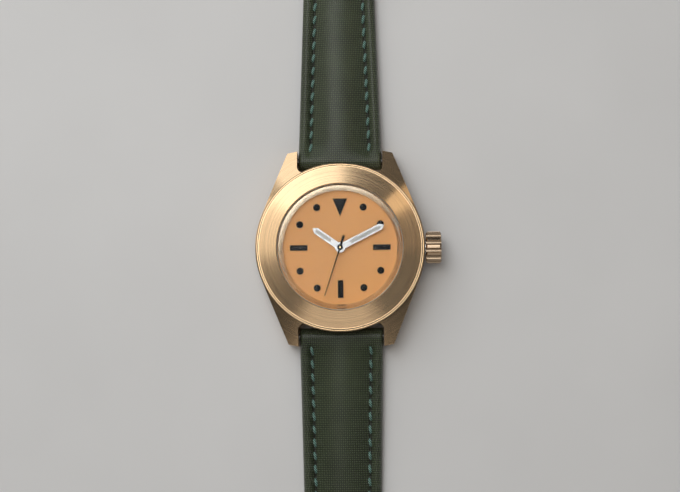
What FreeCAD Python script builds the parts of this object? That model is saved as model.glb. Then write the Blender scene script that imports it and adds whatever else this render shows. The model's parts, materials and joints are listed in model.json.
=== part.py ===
"""A dive watch with a bronze case, an automatic movement and a padded strap, as a parametric document.

Frame, in millimetres: the origin is the centre of the case back's outer face, +Z runs up through the dial,
+Y towards twelve o'clock and +X towards three o'clock and the crown. The watch lies open on a flat surface.
"""

import FreeCAD, Part
import math
import os

import Sketcher
from FreeCAD import Placement, Rotation, Vector

DIMENSIONS = {
    # case: heights are above the case back's outer face
    "case_radius": 19.9, "flank_angle": 22.0, "case_floor": 1.3, "case_top": 9.2, "case_bore": 14.6,
    "back_bore": 15.25, "back_thread_top": 3.0, "neck_radius": 15.9, "neck_top": 10.9,
    "lug_gap": 20.1, "gap_floor": 17.6, "gap_disc": 18.45, "lug_corner": 1.65, "lug_tip": 22.95,
    "lug_tip_slant": 0.45, "slope_start": 19.4, "lug_slope": 27.0, "lug_tip_floor": 0.7, "lug_heel": 15.0,
    "bar_hole_depth": 1.1, "seal_groove_slack": 0.05,
    # bezel
    "bezel_radius": 19.76, "bezel_bore": 14.75, "bezel_rim_top": 11.9, "bezel_rim_edge": 0.17,
    "bezel_cone_radius": 18.95, "bezel_cone_foot": 10.55, "bezel_groove": 0.14, "bezel_flange": 0.55,
    "bezel_grooves": 2,
    # crystal, its gasket and the rehaut
    "seat_height": 10.2, "gasket_wall": 0.14, "gasket_foot": 0.2, "gasket_height": 1.2,
    "crystal_thickness": 1.75, "crystal_edge": 0.25, "crystal_dome": 0.04, "rehaut_foot_radius": 13.35,
    "rehaut_top_radius": 14.45, "rehaut_foot": 0.7,
    # case back
    "back_flat_radius": 15.4, "back_radius": 17.0, "back_edge": 0.6, "back_floor": 1.1,
    "back_wall": 0.95, "back_thread_height": 1.6, "wrench_slots": 6, "wrench_slot_width": 2.2,
    "wrench_slot_length": 1.3, "wrench_slot_depth": 0.8, "seal_radius": 16.1, "seal_section": 0.4,
    # crown and its tube, along +X
    "stem_height": 5.3, "crown_start": 20.05, "crown_length": 3.6, "crown_radius": 3.76,
    "crown_flutes": 13, "flute_radius": 0.62, "flute_centre": 0.2, "crown_edge": 0.35, "crown_dome": 0.18,
    "crown_face": 0.4, "crown_cup": 2.05, "crown_cup_depth": 2.1, "tube_radius": 1.6, "tube_bore": 0.8,
    "tube_reach": 21.75, "tube_grip": 0.7, "crown_seal_start": 0.3, "crown_seal_length": 0.5,
    # stem and the two pinions on it: places are from the watch's axis
    "stem_start": 5.2, "stem_pilot": 0.35, "square_start": 6.2, "stem_square": 0.72, "square_end": 8.6,
    "stem_radius": 0.55, "stem_groove": 10.4, "stem_groove_end": 11.0, "stem_shoulder": 0.6,
    "stem_shoulder_end": 13.0, "stem_thin": 0.4, "stem_end": 23.1, "sliding_start": 6.6,
    "sliding_radius": 1.0, "sliding_neck": 0.68, "sliding_neck_start": 0.7, "sliding_neck_end": 1.2,
    "sliding_length": 1.8, "winding_start": 8.45, "winding_hub": 0.87, "winding_face": 0.73,
    "winding_hub_radius": 1.0,
    # dial and hour markers
    "dial_floor": 7.9, "dial_thickness": 0.4, "dial_radius": 14.2, "dial_hole": 1.05, "foot_radius": 0.4,
    "foot_ring": 12.5, "foot_length": 1.0, "foot_bearing": 60.0, "marker_height": 0.25,
    "marker_border": 0.2, "dot_radius": 0.82, "dot_ring": 10.9, "baton_start": 7.68,
    "baton_length": 4.1, "baton_width": 1.25, "triangle_top": 11.5, "triangle_height": 4.1,
    "triangle_width": 3.35,
    # hands
    "hour_level": 8.75, "minute_level": 9.2, "seconds_level": 9.62, "hand_thickness": 0.15,
    "hand_width": 1.5, "hand_hub": 1.22, "hand_slot": 0.8, "hand_point": 0.95, "lume_start": 2.7,
    "hour_length": 7.9, "minute_length": 11.55, "seconds_length": 11.9, "seconds_tail": 2.9,
    "seconds_width": 0.32, "tail_width": 0.55, "seconds_hub": 0.68, "seconds_pipe": 0.3,
    "seconds_pipe_length": 0.45, "seconds_pipe_floor": 9.42, "hour_bearing": 144.73,
    "minute_hand_bearing": 26.7, "seconds_bearing": 252.0, "cannon_radius": 0.56, "hour_pipe": 0.85,
    # movement plate, ring and bridges
    "movement_radius": 13.0, "bridge_floor": 3.3, "bridge_top": 4.2, "cavity_top": 6.6, "plate_top": 7.3,
    "cavity_radius": 11.85, "bridge_radius": 12.85, "fit": 0.05, "press": 0.01,
    "foot_hole_depth": 0.45, "post_radius": 0.25, "lever_post_radius": 0.3, "post_height": 0.45,
    "post_play": 0.03, "pin_slot_start": 10.3, "pin_slot_end": 12.05, "pin_slot_width": 0.8,
    "window_start": 6.2, "window_end": 10.2, "window_width": 3.5, "screw_ring": 12.3,
    "screw_head": 0.5, "screw_shank": 0.3, "screw_height": 0.3, "screw_depth": 2.0,
    "crown_wheel_screw": 1.0, "crown_wheel_screw_height": 0.18, "crown_wheel_boss": 0.6,
    "jewel_radius": 0.55, "jewel_thickness": 0.25, "jewel_play": 0.02, "arbor_radius": 0.15,
    "pivot_play": 0.01, "cock_floor": 5.35, "cock_thickness": 0.35, "cock_width": 1.1,
    "cock_post": 0.5, "cock_post_ring": 2.6,
    # going train: heights are each wheel's and pinion's lower face
    "wheel_thickness": 0.15, "spoke_hub": 1.1, "wheel_rim": 0.45, "centre_teeth": 80,
    "centre_pinion": 12, "third_teeth": 75, "third_pinion": 10, "fourth_teeth": 84,
    "fourth_pinion": 10, "escape_pinion": 7, "escape_teeth": 15, "barrel_teeth": 84,
    "centre_module": 0.105, "fourth_module": 0.1, "barrel_module": 0.128,
    "centre_level": 6.2, "centre_pinion_level": 5.45, "centre_pinion_face": 0.55,
    "centre_arbor": 0.4, "centre_arbor_floor": 5.2, "centre_arbor_top": 8.9, "third_level": 4.75,
    "third_pinion_level": 6.05, "fourth_level": 4.35, "fourth_pinion_level": 4.6,
    "pinion_face": 0.45, "fourth_top": 9.85, "barrel_bearing": 75.0, "third_bearing": 215.0,
    "escape_bearing": 285.0, "balance_bearing": -54.3,
    # escapement and balance
    "escape_radius": 1.9, "escape_tooth": 0.5, "escape_level": 5.83, "escape_thickness": 0.13,
    "escape_pinion_level": 4.3, "escape_pinion_face": 0.3, "pallet_distance": 2.19, "fork_level": 5.98,
    "fork_thickness": 0.12, "fork_foot": 5.36, "stone_thickness": 0.15, "balance_radius": 3.7,
    "balance_distance": 7.88, "balance_level": 4.7, "balance_height": 0.5, "balance_rim": 0.5,
    "balance_arm_level": 4.85, "balance_arm_height": 0.2, "balance_arm_width": 0.6,
    "balance_hub": 0.5, "roller_level": 5.75, "roller_radius": 0.45, "roller_height": 0.17,
    "roller_pin": 0.08, "roller_pin_place": 0.3, "hairspring_level": 4.4, "hairspring_height": 0.12,
    "hairspring_start": 0.4, "hairspring_end": 1.9, "hairspring_strip": 0.05, "hairspring_turns": 9,
    # barrel, ratchet, crown wheel and click
    "barrel_floor": 4.65, "barrel_gear_level": 5.6, "barrel_top": 6.0, "barrel_drum": 5.05,
    "barrel_drum_bore": 4.75, "barrel_cover": 0.2, "mainspring_start": 1.2, "mainspring_end": 4.6,
    "mainspring_strip": 0.13, "mainspring_level": 4.92, "mainspring_height": 0.6,
    "mainspring_turns": 11, "drum_arbor": 0.5, "drum_arbor_top": 6.84, "drum_arbor_head": 0.9,
    "drum_arbor_head_height": 0.16, "drum_arbor_core": 1.1, "ratchet_teeth": 60,
    "crown_wheel_teeth": 30, "winding_teeth": 17, "ratchet_module": 0.176, "winding_level": 2.95,
    "winding_thickness": 0.3, "crown_wheel_height": 0.93, "click_bearing": 170.0, "click_reach": 2.5,
    "click_back": 0.02, "click_hub": 0.6, "click_bore": 0.3, "click_width": 0.9, "click_beak": 0.5,
    "click_neck": 0.7, "click_tip": 0.06,
    # motion works
    "cannon_teeth": 12, "minute_teeth": 36, "minute_pinion": 10, "hour_teeth": 40,
    "setting_teeth": 24, "motion_module": 0.12, "minute_bearing": -60.0, "setting_bearing": 17.6,
    "motion_level": 7.34, "motion_thickness": 0.12, "cannon_face": 0.16, "cannon_pipe_level": 7.5,
    "cannon_top": 9.45, "minute_pinion_level": 7.5, "minute_pinion_face": 0.2, "collar_wall": 0.15,
    "hour_wheel_level": 7.54,
    "hour_wheel_thickness": 0.14, "hour_pipe_top": 8.95,
    # keyless works
    "lever_x": 11.2, "lever_y": 2.4, "yoke_x": 7.3, "yoke_y": 3.2, "lever_level": 7.35,
    "lever_thickness": 0.25, "lever_hub": 0.75, "lever_pin": 0.25, "lever_pin_x": -0.5,
    "lever_pin_y": -2.4, "lever_pin_floor": 5.65, "yoke_hub": 0.7, "yoke_pin": 0.2, "yoke_pin_x": 0.25,
    "yoke_pin_y": -3.2, "yoke_pin_floor": 6.02,
    # rotor and its axle
    "rotor_radius": 12.6, "rotor_inner": 10.1, "rotor_floor": 1.4, "rotor_top": 2.7, "rotor_web": 0.3,
    "rotor_hub": 2.0, "rotor_hub_floor": 2.2, "axle_radius": 0.6, "axle_head": 1.1,
    "axle_floor": 1.75, "axle_head_top": 2.12,
    # spring bars and strap
    "bar_place": 20.7, "bar_height": 3.6, "bar_radius": 0.9, "bar_tip_radius": 0.45,
    "bar_tip_reach": 0.9, "bar_play": 0.2, "strap_clearance": 0.4, "strap_end_width": 16.0,
    "strap_lug_thickness": 4.0, "strap_end_thickness": 2.6, "short_length": 75.0,
    "short_taper": 52.0, "short_lift": 1.2, "short_rise": 8.0, "short_thinning": 36.0,
    "short_end": 4.0, "long_length": 115.0, "long_taper": 95.0, "long_rise": 14.0,
    "long_thinning": 60.0, "tip_length": 13.0, "tip_width": 6.4, "tip_shoulder": 11.2,
    "tip_shoulder_place": 4.55, "tip_thinning": 5.0, "tip_thickness": 2.08, "hole_count": 7,
    "hole_pitch": 6.5, "hole_start": 58.0, "hole_radius": 1.0, "slot_width": 3.2, "slot_start": 4.3,
    # keepers
    "keeper_width": 5.0, "keeper_band": 0.9, "keeper_slack": 1.2, "keeper_room": 2.6,
    "keeper_corner": 0.5, "fixed_keeper": 13.0, "free_keeper": 22.5,
    # buckle
    "buckle_bar_radius": 0.75, "buckle_bar_tip": 0.4, "buckle_tip_reach": 0.9, "buckle_tip_hole": 1.1,
    "buckle_loop": 1.7, "buckle_play": 0.15, "buckle_arm": 2.1, "buckle_reach": 11.6,
    "buckle_thickness": 2.5, "buckle_bar_depth": 3.0, "buckle_tail": 2.2, "buckle_tail_edge": 0.8,
    "buckle_corner": 2.0, "buckle_inner_corner": 1.0, "notch_depth": 0.45, "notch_play": 0.2,
    "tongue_width": 2.2, "tongue_thickness": 1.3, "tongue_eye": 0.75, "tongue_heel": 2.2,
}

# The bridge screws' bearings from +X, in degrees, and each bridge's outline before it is trimmed round.
SCREW_BEARINGS = {"barrel_bridge": (25, 90, 155), "train_bridge": (200, 258), "balance_cock": (292, 333)}
BRIDGE_REACH = 14
BRIDGE_OUTLINES = {
    "barrel_bridge": [
        (-BRIDGE_REACH, 1.3), (2.4, 1.3), (3.3, -3.4), (BRIDGE_REACH, -3.4),
        (BRIDGE_REACH, BRIDGE_REACH), (-BRIDGE_REACH, BRIDGE_REACH),
    ],
    "train_bridge": [
        (-BRIDGE_REACH, 1.1), (2.2, 1.1), (3.0, -3.4), (2.3, -3.6), (2.3, -BRIDGE_REACH),
        (-BRIDGE_REACH, -BRIDGE_REACH),
    ],
    "balance_cock": [
        (2.6, -3.65), (BRIDGE_REACH, -3.65), (BRIDGE_REACH, -BRIDGE_REACH), (2.6, -BRIDGE_REACH),
    ],
}

# How far a cut starts outside a piece, or runs past it, and the slack when edges are picked.
PAST = 1
TINY = 1e-4


class Size:
    """A number with the spreadsheet expression that it comes from."""

    def __init__(self, value, text=None):
        self.value = float(value)
        self.text = text or repr(float(value))

    def joined(self, sign, other, value):
        return Size(value, "(%s %s %s)" % (self.text, sign, other.text))

    def __add__(self, other):
        other = as_size(other)
        return self.joined("+", other, self.value + other.value)

    def __sub__(self, other):
        other = as_size(other)
        return self.joined("-", other, self.value - other.value)

    def __mul__(self, other):
        other = as_size(other)
        return self.joined("*", other, self.value * other.value)

    def __truediv__(self, other):
        other = as_size(other)
        return self.joined("/", other, self.value / other.value)

    def __radd__(self, other):
        return as_size(other) + self

    def __rsub__(self, other):
        return as_size(other) - self

    def __rmul__(self, other):
        return as_size(other) * self

    def __neg__(self):
        return as_size(0) - self


def as_size(number):
    return number if isinstance(number, Size) else Size(number)


def root(size):
    return Size(math.sqrt(size.value), "sqrt(%s)" % size.text)


def cosine(size):
    return Size(math.cos(math.radians(size.value)), "cos(%s)" % size.text)


def sine(size):
    return Size(math.sin(math.radians(size.value)), "sin(%s)" % size.text)


class Dims:
    """The spreadsheet's named cells, as sizes."""

    def __getattr__(self, name):
        return Size(DIMENSIONS[name], "dims." + name)


d = Dims()
doc = FreeCAD.newDocument("dive_watch")


def write_sheet():
    sheet = doc.addObject("Spreadsheet::Sheet", "dims")
    for row, (name, value) in enumerate(DIMENSIONS.items(), start=1):
        sheet.set("A%d" % row, name)
        sheet.set("B%d" % row, repr(value))
        sheet.setAlias("B%d" % row, name)
    doc.recompute()


nodes = []


def new_body(label):
    body = doc.addObject("PartDesign::Body", label)
    body.Label = label
    body.AllowCompound = True
    nodes.append(body)
    return body


def bind(thing, name, size):
    thing.setExpression(name, as_size(size).text)


def place(body, x=0, y=0, z=0, turn=Rotation()):
    """Puts a body at a place bound to the sheet, turned by a rotation."""
    x, y, z = (as_size(v) for v in (x, y, z))
    body.Placement = Placement(Vector(x.value, y.value, z.value), turn)
    for axis, size in zip("xyz", (x, y, z)):
        bind(body, "Placement.Base." + axis, size)


def about_z(degrees):
    return Rotation(Vector(0, 0, 1), degrees)


ALONG_X = Rotation(Vector(0, 1, 0), 90)


def origin_plane(body, role):
    return next(f for f in body.Origin.OriginFeatures if f.Role == role)


def sketch_on(body, role="XY_Plane", height=0):
    sketch = body.newObject("Sketcher::SketchObject", body.Label + "_sketch")
    sketch.AttachmentSupport = [(origin_plane(body, role), "")]
    sketch.MapMode = "FlatFace"
    bind(sketch, "AttachmentOffset.Base.z", height)
    return sketch


def constrain(sketch, kind, first, second, size):
    """Adds a dimension to the sketch and binds it to the sheet."""
    size = as_size(size)
    if kind == "Radius":
        number = sketch.addConstraint(Sketcher.Constraint(kind, first, size.value))
    else:
        number = sketch.addConstraint(Sketcher.Constraint(kind, first, second, size.value))
    bind(sketch, "Constraints[%d]" % number, size)


def polygon(sketch, points):
    """A closed outline of straight lines through points, each (across, up)."""
    points = [(as_size(a), as_size(b)) for a, b in points]
    first = sketch.GeometryCount
    count = len(points)
    for k, (a, b) in enumerate(points):
        c, e = points[(k + 1) % count]
        sketch.addGeometry(
            Part.LineSegment(Vector(a.value, b.value, 0), Vector(c.value, e.value, 0)), False
        )
    for k, (a, b) in enumerate(points):
        sketch.addConstraint(
            Sketcher.Constraint("Coincident", first + k, 2, first + (k + 1) % count, 1)
        )
        constrain(sketch, "DistanceX", first + k, 1, a)
        constrain(sketch, "DistanceY", first + k, 1, b)


def circle(sketch, radius, x=0, y=0):
    radius, x, y = as_size(radius), as_size(x), as_size(y)
    number = sketch.addGeometry(
        Part.Circle(Vector(x.value, y.value, 0), Vector(0, 0, 1), radius.value), False
    )
    constrain(sketch, "Radius", number, None, radius)
    constrain(sketch, "DistanceX", number, 3, x)
    constrain(sketch, "DistanceY", number, 3, y)


def cut_through(body, role, *outlines):
    """Cuts straight-sided outlines on one of the body's planes right through, both ways."""
    sketch = sketch_on(body, role)
    for points in outlines:
        polygon(sketch, points)
    return pocket(body, sketch, midplane=True)


def bore_along_x(body, start, depth, radius, y=0, z=0):
    """Cuts a round hole along +X, from start by depth."""
    sketch = sketch_on(body, "YZ_Plane", start)
    circle(sketch, radius, y, z)
    return pocket(body, sketch, depth, reverse=True)


def box_points(left, low, right, high):
    return [(left, low), (right, low), (right, high), (left, high)]


def pad(body, sketch, length, midplane=False):
    feature = body.newObject("PartDesign::Pad", body.Label + "_pad")
    feature.Profile = sketch
    feature.SideType = "Symmetric" if midplane else "One side"
    bind(feature, "Length", length)
    doc.recompute()
    return feature


def pocket(body, sketch, length=None, reverse=False, midplane=False):
    """Cuts the sketch's outline away. The volume has to drop, or the cut pointed away from the solid."""
    before = body.Shape.Volume
    feature = body.newObject("PartDesign::Pocket", body.Label + "_pocket")
    feature.Profile = sketch
    feature.SideType = "Symmetric" if midplane else "One side"
    feature.Reversed = reverse
    if length is None:
        feature.Type = "ThroughAll"
    else:
        bind(feature, "Length", length)
    doc.recompute()
    if body.Shape.Volume > before - 1e-9:
        raise RuntimeError("a pocket in %s cut nothing" % body.Label)
    return feature


def revolve(body, points, kind="Revolution"):
    """Turns an outline of (radius, height) points about the body's own Z axis, to add or to cut."""
    sketch = sketch_on(body, "XZ_Plane")
    polygon(sketch, points)
    feature = body.newObject("PartDesign::" + kind, body.Label + "_turned")
    feature.Profile = sketch
    feature.ReferenceAxis = (sketch, ["V_Axis"])
    feature.Angle = 360
    doc.recompute()
    return feature


def turned(label, points):
    body = new_body(label)
    revolve(body, points)
    return body


def plate(label, floor, thickness, *outlines):
    """A flat piece of straight-sided outlines, from floor up by thickness."""
    body = new_body(label)
    sketch = sketch_on(body, height=floor)
    for points in outlines:
        polygon(sketch, points)
    pad(body, sketch, thickness)
    return body


def add_plate(body, floor, thickness, *outlines):
    sketch = sketch_on(body, height=floor)
    for points in outlines:
        polygon(sketch, points)
    return pad(body, sketch, thickness)


def add_discs(body, floor, thickness, *circles):
    """Adds round discs, each (radius, x, y). A disc inside another is a hole."""
    sketch = sketch_on(body, height=floor)
    for round_one in circles:
        circle(sketch, *round_one)
    return pad(body, sketch, thickness)


def drill(body, start, depth, *circles, reverse=True):
    """Cuts round holes, each (radius, x, y), from start by depth: upwards when reverse."""
    sketch = sketch_on(body, height=start)
    for round_one in circles:
        circle(sketch, *round_one)
    return pocket(body, sketch, depth, reverse=reverse)


def bore(body, *circles):
    """Cuts round holes, each (radius, x, y), right through the body."""
    sketch = sketch_on(body)
    for round_one in circles:
        circle(sketch, *round_one)
    return pocket(body, sketch, midplane=True)


def repeat(body, feature, count):
    """Repeats a feature round the body's Z axis."""
    pattern = body.newObject("PartDesign::PolarPattern", body.Label + "_ring")
    pattern.Originals = [feature]
    pattern.Axis = (origin_axis(body), [""])
    pattern.Angle = 360
    bind(pattern, "Occurrences", count)
    body.Tip = pattern
    doc.recompute()


def origin_axis(body, role="Z_Axis"):
    return next(f for f in body.Origin.OriginFeatures if f.Role == role)


def polar(distance, degrees):
    """A point at a distance from the centre, at an angle from +X."""
    distance, degrees = as_size(distance), as_size(degrees)
    return distance * cosine(degrees), distance * sine(degrees)


def mirrored(points):
    """The same outline on the other side of the Y axis."""
    return [(-as_size(a), b) for a, b in points]


ADDENDUM, DEDENDUM, TOOTH_SINK = 0.85, 1.2, 0.5
TOOTH_TIP, TOOTH_FOOT = 0.4, 1.15


def root_circle(teeth, module):
    return teeth * module / 2 - module * DEDENDUM


def add_gear(body, teeth, module, floor, thickness, share=0.42):
    """Adds a toothed disc with its first tooth on +X. A tooth fills share of its pitch."""
    pitch_radius = teeth * module / 2
    sunk = root_circle(teeth, module) - module * TOOTH_SINK
    tip = pitch_radius + module * ADDENDUM
    half = module * (math.pi * share / 2)
    add_discs(body, floor, thickness, (root_circle(teeth, module),))
    tooth = add_plate(body, floor, thickness, [
        (sunk, -half * TOOTH_FOOT), (pitch_radius, -half), (tip, -half * TOOTH_TIP),
        (tip, half * TOOTH_TIP), (pitch_radius, half), (sunk, half * TOOTH_FOOT),
    ])
    repeat(body, tooth, teeth)


def mesh_turn(teeth_a, turn_a, teeth_b, direction):
    """How far wheel B is turned, in degrees, so that its teeth stand between those of wheel A."""
    pitch_a, pitch_b = 360 / teeth_a.value, 360 / teeth_b.value
    past = ((direction - turn_a) % pitch_a) / pitch_a
    return direction + 180 + (past + 0.5) * pitch_b


def fillet(body, edges, radius):
    """Rounds those edges of the body that the test picks."""
    picked = ["Edge%d" % (k + 1) for k, e in enumerate(body.Shape.Edges) if edges(e)]
    if not picked:
        raise RuntimeError("no edges of %s to round" % body.Label)
    base = body.Tip
    feature = body.newObject("PartDesign::Fillet", body.Label + "_edge")
    feature.Base = (base, picked)
    bind(feature, "Radius", radius)
    body.Tip = feature
    doc.recompute()


SPOKES, SPOKE_WIDTH = 5, 0.5


def windows(body, floor, near, far):
    """Cuts the openings between a wheel's spokes, from floor up."""
    sketch = sketch_on(body, height=floor)
    half = math.pi / SPOKES
    near_half = near * math.sin(half) - SPOKE_WIDTH / 2
    far_half = far * math.sin(half) - SPOKE_WIDTH / 2
    polygon(sketch, [
        (near * math.cos(half), -near_half), (far * math.cos(half), -far_half), (far, 0),
        (far * math.cos(half), far_half), (near * math.cos(half), near_half),
    ])
    cut = pocket(body, sketch, d.wheel_thickness, reverse=True)
    repeat(body, cut, SPOKES)


SPIRAL_POINTS = 16


def spiral(label, inner, outer, turns, strip, floor, height, centre):
    """A flat coiled spring. Its shape is computed, as neither a sketch nor a primitive fits a spiral."""
    turns = int(turns.value)
    count = turns * SPIRAL_POINTS

    def edge(offset):
        points = []
        for k in range(count + 1):
            share = k / count
            radius = inner.value + (outer.value - inner.value) * share + offset
            angle = 2 * math.pi * turns * share
            points.append(Vector(radius * math.cos(angle), radius * math.sin(angle), floor.value))
        curve = Part.BSplineCurve()
        curve.interpolate(points)
        return curve.toShape(), points
    inside, inside_points = edge(-strip.value / 2)
    outside, outside_points = edge(strip.value / 2)
    ends = [Part.makeLine(inside_points[k], outside_points[k]) for k in (0, -1)]
    wire = Part.Wire(Part.__sortEdges__([inside, ends[1], outside, ends[0]]))
    spring = doc.addObject("Part::Feature", label)
    spring.Label = label
    spring.Shape = Part.Face(wire).extrude(Vector(0, 0, height.value))
    place(spring, *centre)
    nodes.append(spring)


write_sheet()

# Where the wheels stand.
barrel_spot = polar((d.barrel_teeth + d.centre_pinion) * d.barrel_module / 2, d.barrel_bearing)
third_distance = (d.centre_teeth + d.third_pinion) * d.centre_module / 2
third_spot = polar(third_distance, d.third_bearing)
third_module = third_distance * 2 / (d.third_teeth + d.fourth_pinion)
escape_spot = polar((d.fourth_teeth + d.escape_pinion) * d.fourth_module / 2, d.escape_bearing)
balance_spot = polar(d.balance_distance, d.balance_bearing)
minute_distance = (d.cannon_teeth + d.minute_teeth) * d.motion_module / 2
minute_spot = polar(minute_distance, d.minute_bearing)
hour_module = minute_distance * 2 / (d.minute_pinion + d.hour_teeth)
setting_step = polar((d.setting_teeth + d.minute_teeth) * d.motion_module / 2, d.setting_bearing)
setting_spot = (minute_spot[0] + setting_step[0], minute_spot[1] + setting_step[1])
winding_sum = (d.ratchet_teeth + d.crown_wheel_teeth) * d.ratchet_module / 2
crown_wheel_x = barrel_spot[0] + root(winding_sum * winding_sum - barrel_spot[1] * barrel_spot[1])
pallet_x = balance_spot[0] - escape_spot[0]
pallet_y = balance_spot[1] - escape_spot[1]
pallet_line = root(pallet_x * pallet_x + pallet_y * pallet_y)
pallet_spot = (
    escape_spot[0] + pallet_x / pallet_line * d.pallet_distance,
    escape_spot[1] + pallet_y / pallet_line * d.pallet_distance,
)
pallet_bearing = math.degrees(math.atan2(pallet_y.value, pallet_x.value))
seat_top = d.seat_height + d.gasket_foot
dial_top = d.dial_floor + d.dial_thickness
lever_spot = (d.lever_x, d.lever_y)
yoke_spot = (d.yoke_x, d.yoke_y)

# Case: the round middle and four lugs, the gaps between the lugs, the neck for the bezel, the bores.
case = new_body("case_middle")
tip_outer_y = d.lug_tip - d.lug_tip_slant
tip_outer_x = (d.case_radius - tip_outer_y * sine(d.flank_angle)) / cosine(d.flank_angle)
flank_x, flank_y = polar(d.case_radius, d.flank_angle)
half_gap = d.lug_gap / 2
beyond = d.lug_tip + PAST
lug = [(half_gap - PAST, flank_y), (flank_x, flank_y), (tip_outer_x, tip_outer_y), (half_gap, d.lug_tip)]
lug.append((half_gap - PAST, d.lug_tip))
lugs = []
for upper in (lug, mirrored(lug)):
    lugs += [upper, [(a, -b) for a, b in upper]]
add_discs(case, d.case_floor, d.case_top - d.case_floor, (d.case_radius,))
add_plate(case, d.lug_tip_floor, d.case_top - d.lug_tip_floor, *lugs)
lug_reach = d.lug_tip + tip_outer_x
slope_fall = (lug_reach - d.slope_start) * sine(d.lug_slope) / cosine(d.lug_slope)
revolve(case, [
    (d.slope_start, d.case_top), (lug_reach, d.case_top - slope_fall), (lug_reach, d.case_top + PAST),
    (d.slope_start, d.case_top + PAST),
], "Groove")
under_lug = [
    (PAST, 0), (PAST, d.case_floor), (d.lug_heel, d.case_floor), (d.lug_tip, d.lug_tip_floor + d.fit),
    (beyond, 0),
]
cut_through(case, "YZ_Plane", under_lug, mirrored(under_lug))
gap_box = box_points(-half_gap, d.gap_floor, half_gap, beyond)
cut_through(case, "XY_Plane", gap_box, [(a, -b) for a, b in gap_box])


def upright(edge):
    box = edge.BoundBox
    return box.XLength < TINY and box.YLength < TINY


def gap_corner(edge):
    """Whether an edge stands in an inner corner of the gap between two lugs."""
    box = edge.BoundBox
    across = abs(abs(box.XMin) - half_gap.value) < TINY
    return upright(edge) and across and abs(abs(box.YMin) - d.gap_floor.value) < TINY


fillet(case, gap_corner, d.lug_corner)
add_discs(case, d.case_floor, d.case_top - d.case_floor, (d.gap_disc,))
add_discs(case, d.case_top, d.neck_top - d.case_top, (d.neck_radius,))
revolve(case, [
    (0, 0), (d.back_bore, 0), (d.back_bore, d.back_thread_top), (d.case_bore, d.back_thread_top),
    (d.case_bore, d.seat_height), (d.bezel_bore, d.seat_height), (d.bezel_bore, d.neck_top + PAST),
    (0, d.neck_top + PAST),
], "Groove")
seal_half = d.seal_section + d.seal_groove_slack
revolve(case, box_points(
    d.seal_radius - seal_half, 0, d.seal_radius + seal_half,
    d.case_floor + d.seal_section * 2 + d.seal_groove_slack
), "Groove")
tube_start = d.case_bore - d.tube_grip
wall_hole = d.case_radius - tube_start + 2 * PAST
bore_along_x(case, tube_start - PAST, wall_hole, d.tube_radius + d.press, z=d.stem_height)
bars = sketch_on(case, "YZ_Plane")
for y in (d.bar_place, -d.bar_place):
    circle(bars, d.bar_tip_radius + d.fit, y, d.bar_height)
pocket(case, bars, (half_gap + d.bar_hole_depth) * 2, midplane=True)

rim_run = d.bezel_radius - d.bezel_cone_radius
rim_fall = d.bezel_cone_foot - d.case_top - d.bezel_flange
rim = []
for k in range(int(d.bezel_grooves.value)):
    groove_x = d.bezel_cone_radius + rim_run * k / d.bezel_grooves
    groove_z = d.bezel_cone_foot - rim_fall * k / d.bezel_grooves
    rim += [(groove_x, groove_z), (groove_x, groove_z - d.bezel_groove)]
    rim.append((groove_x + d.bezel_groove, groove_z - d.bezel_groove))
turned("bezel", [
    (d.bezel_bore, d.neck_top + d.fit), (d.bezel_bore, d.bezel_rim_top - d.bezel_rim_edge),
    (d.bezel_bore + d.bezel_rim_edge, d.bezel_rim_top),
] + rim + [
    (d.bezel_radius, d.case_top + d.bezel_flange), (d.bezel_radius, d.case_top),
    (d.neck_radius + d.fit, d.case_top), (d.neck_radius + d.fit, d.neck_top + d.fit),
])
crystal_radius = d.bezel_bore - d.gasket_wall - d.press
crystal_top = seat_top + d.crystal_thickness
turned("crystal", [
    (0, seat_top), (crystal_radius, seat_top), (crystal_radius, crystal_top - d.crystal_edge),
    (crystal_radius - d.crystal_edge, crystal_top), (0, crystal_top + d.crystal_dome),
])
turned("crystal_gasket", [
    (d.rehaut_top_radius, d.seat_height), (d.bezel_bore - d.press, d.seat_height),
    (d.bezel_bore - d.press, d.seat_height + d.gasket_height),
    (crystal_radius + d.press, d.seat_height + d.gasket_height),
    (crystal_radius + d.press, seat_top), (d.rehaut_top_radius, seat_top),
])
rehaut_outer = d.case_bore - d.fit
turned("rehaut", [
    (d.rehaut_foot_radius, dial_top), (rehaut_outer, dial_top), (rehaut_outer, d.seat_height),
    (d.rehaut_top_radius, d.seat_height), (d.rehaut_foot_radius, dial_top + d.rehaut_foot),
])

back_wall_outer = d.back_bore - d.fit
back = turned("case_back", [
    (0, 0), (d.back_flat_radius, 0), (d.back_radius, d.back_edge), (d.back_radius, d.case_floor),
    (back_wall_outer, d.case_floor), (back_wall_outer, d.case_floor + d.back_thread_height),
    (back_wall_outer - d.back_wall, d.case_floor + d.back_thread_height),
    (back_wall_outer - d.back_wall, d.back_floor), (0, d.back_floor),
])
slot_sketch = sketch_on(back)
polygon(slot_sketch, box_points(
    d.back_radius - d.wrench_slot_length, -d.wrench_slot_width / 2,
    d.back_radius + PAST, d.wrench_slot_width / 2
))
slot_cut = pocket(back, slot_sketch, d.wrench_slot_depth, reverse=True)
repeat(back, slot_cut, d.wrench_slots)

seal = new_body("case_back_gasket")
seal_sketch = sketch_on(seal, "XZ_Plane")
circle(seal_sketch, d.seal_section, d.seal_radius, d.case_floor + d.seal_section)
seal_ring = seal.newObject("PartDesign::Revolution", "seal_turned")
seal_ring.Profile = seal_sketch
seal_ring.ReferenceAxis = (seal_sketch, ["V_Axis"])
seal_ring.Angle = 360

# Crown, its tube and the stem, all along +X.
tube = turned("crown_tube", box_points(d.tube_bore, 0, d.tube_radius, d.tube_reach - tube_start))
place(tube, tube_start, 0, d.stem_height, ALONG_X)

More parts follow.
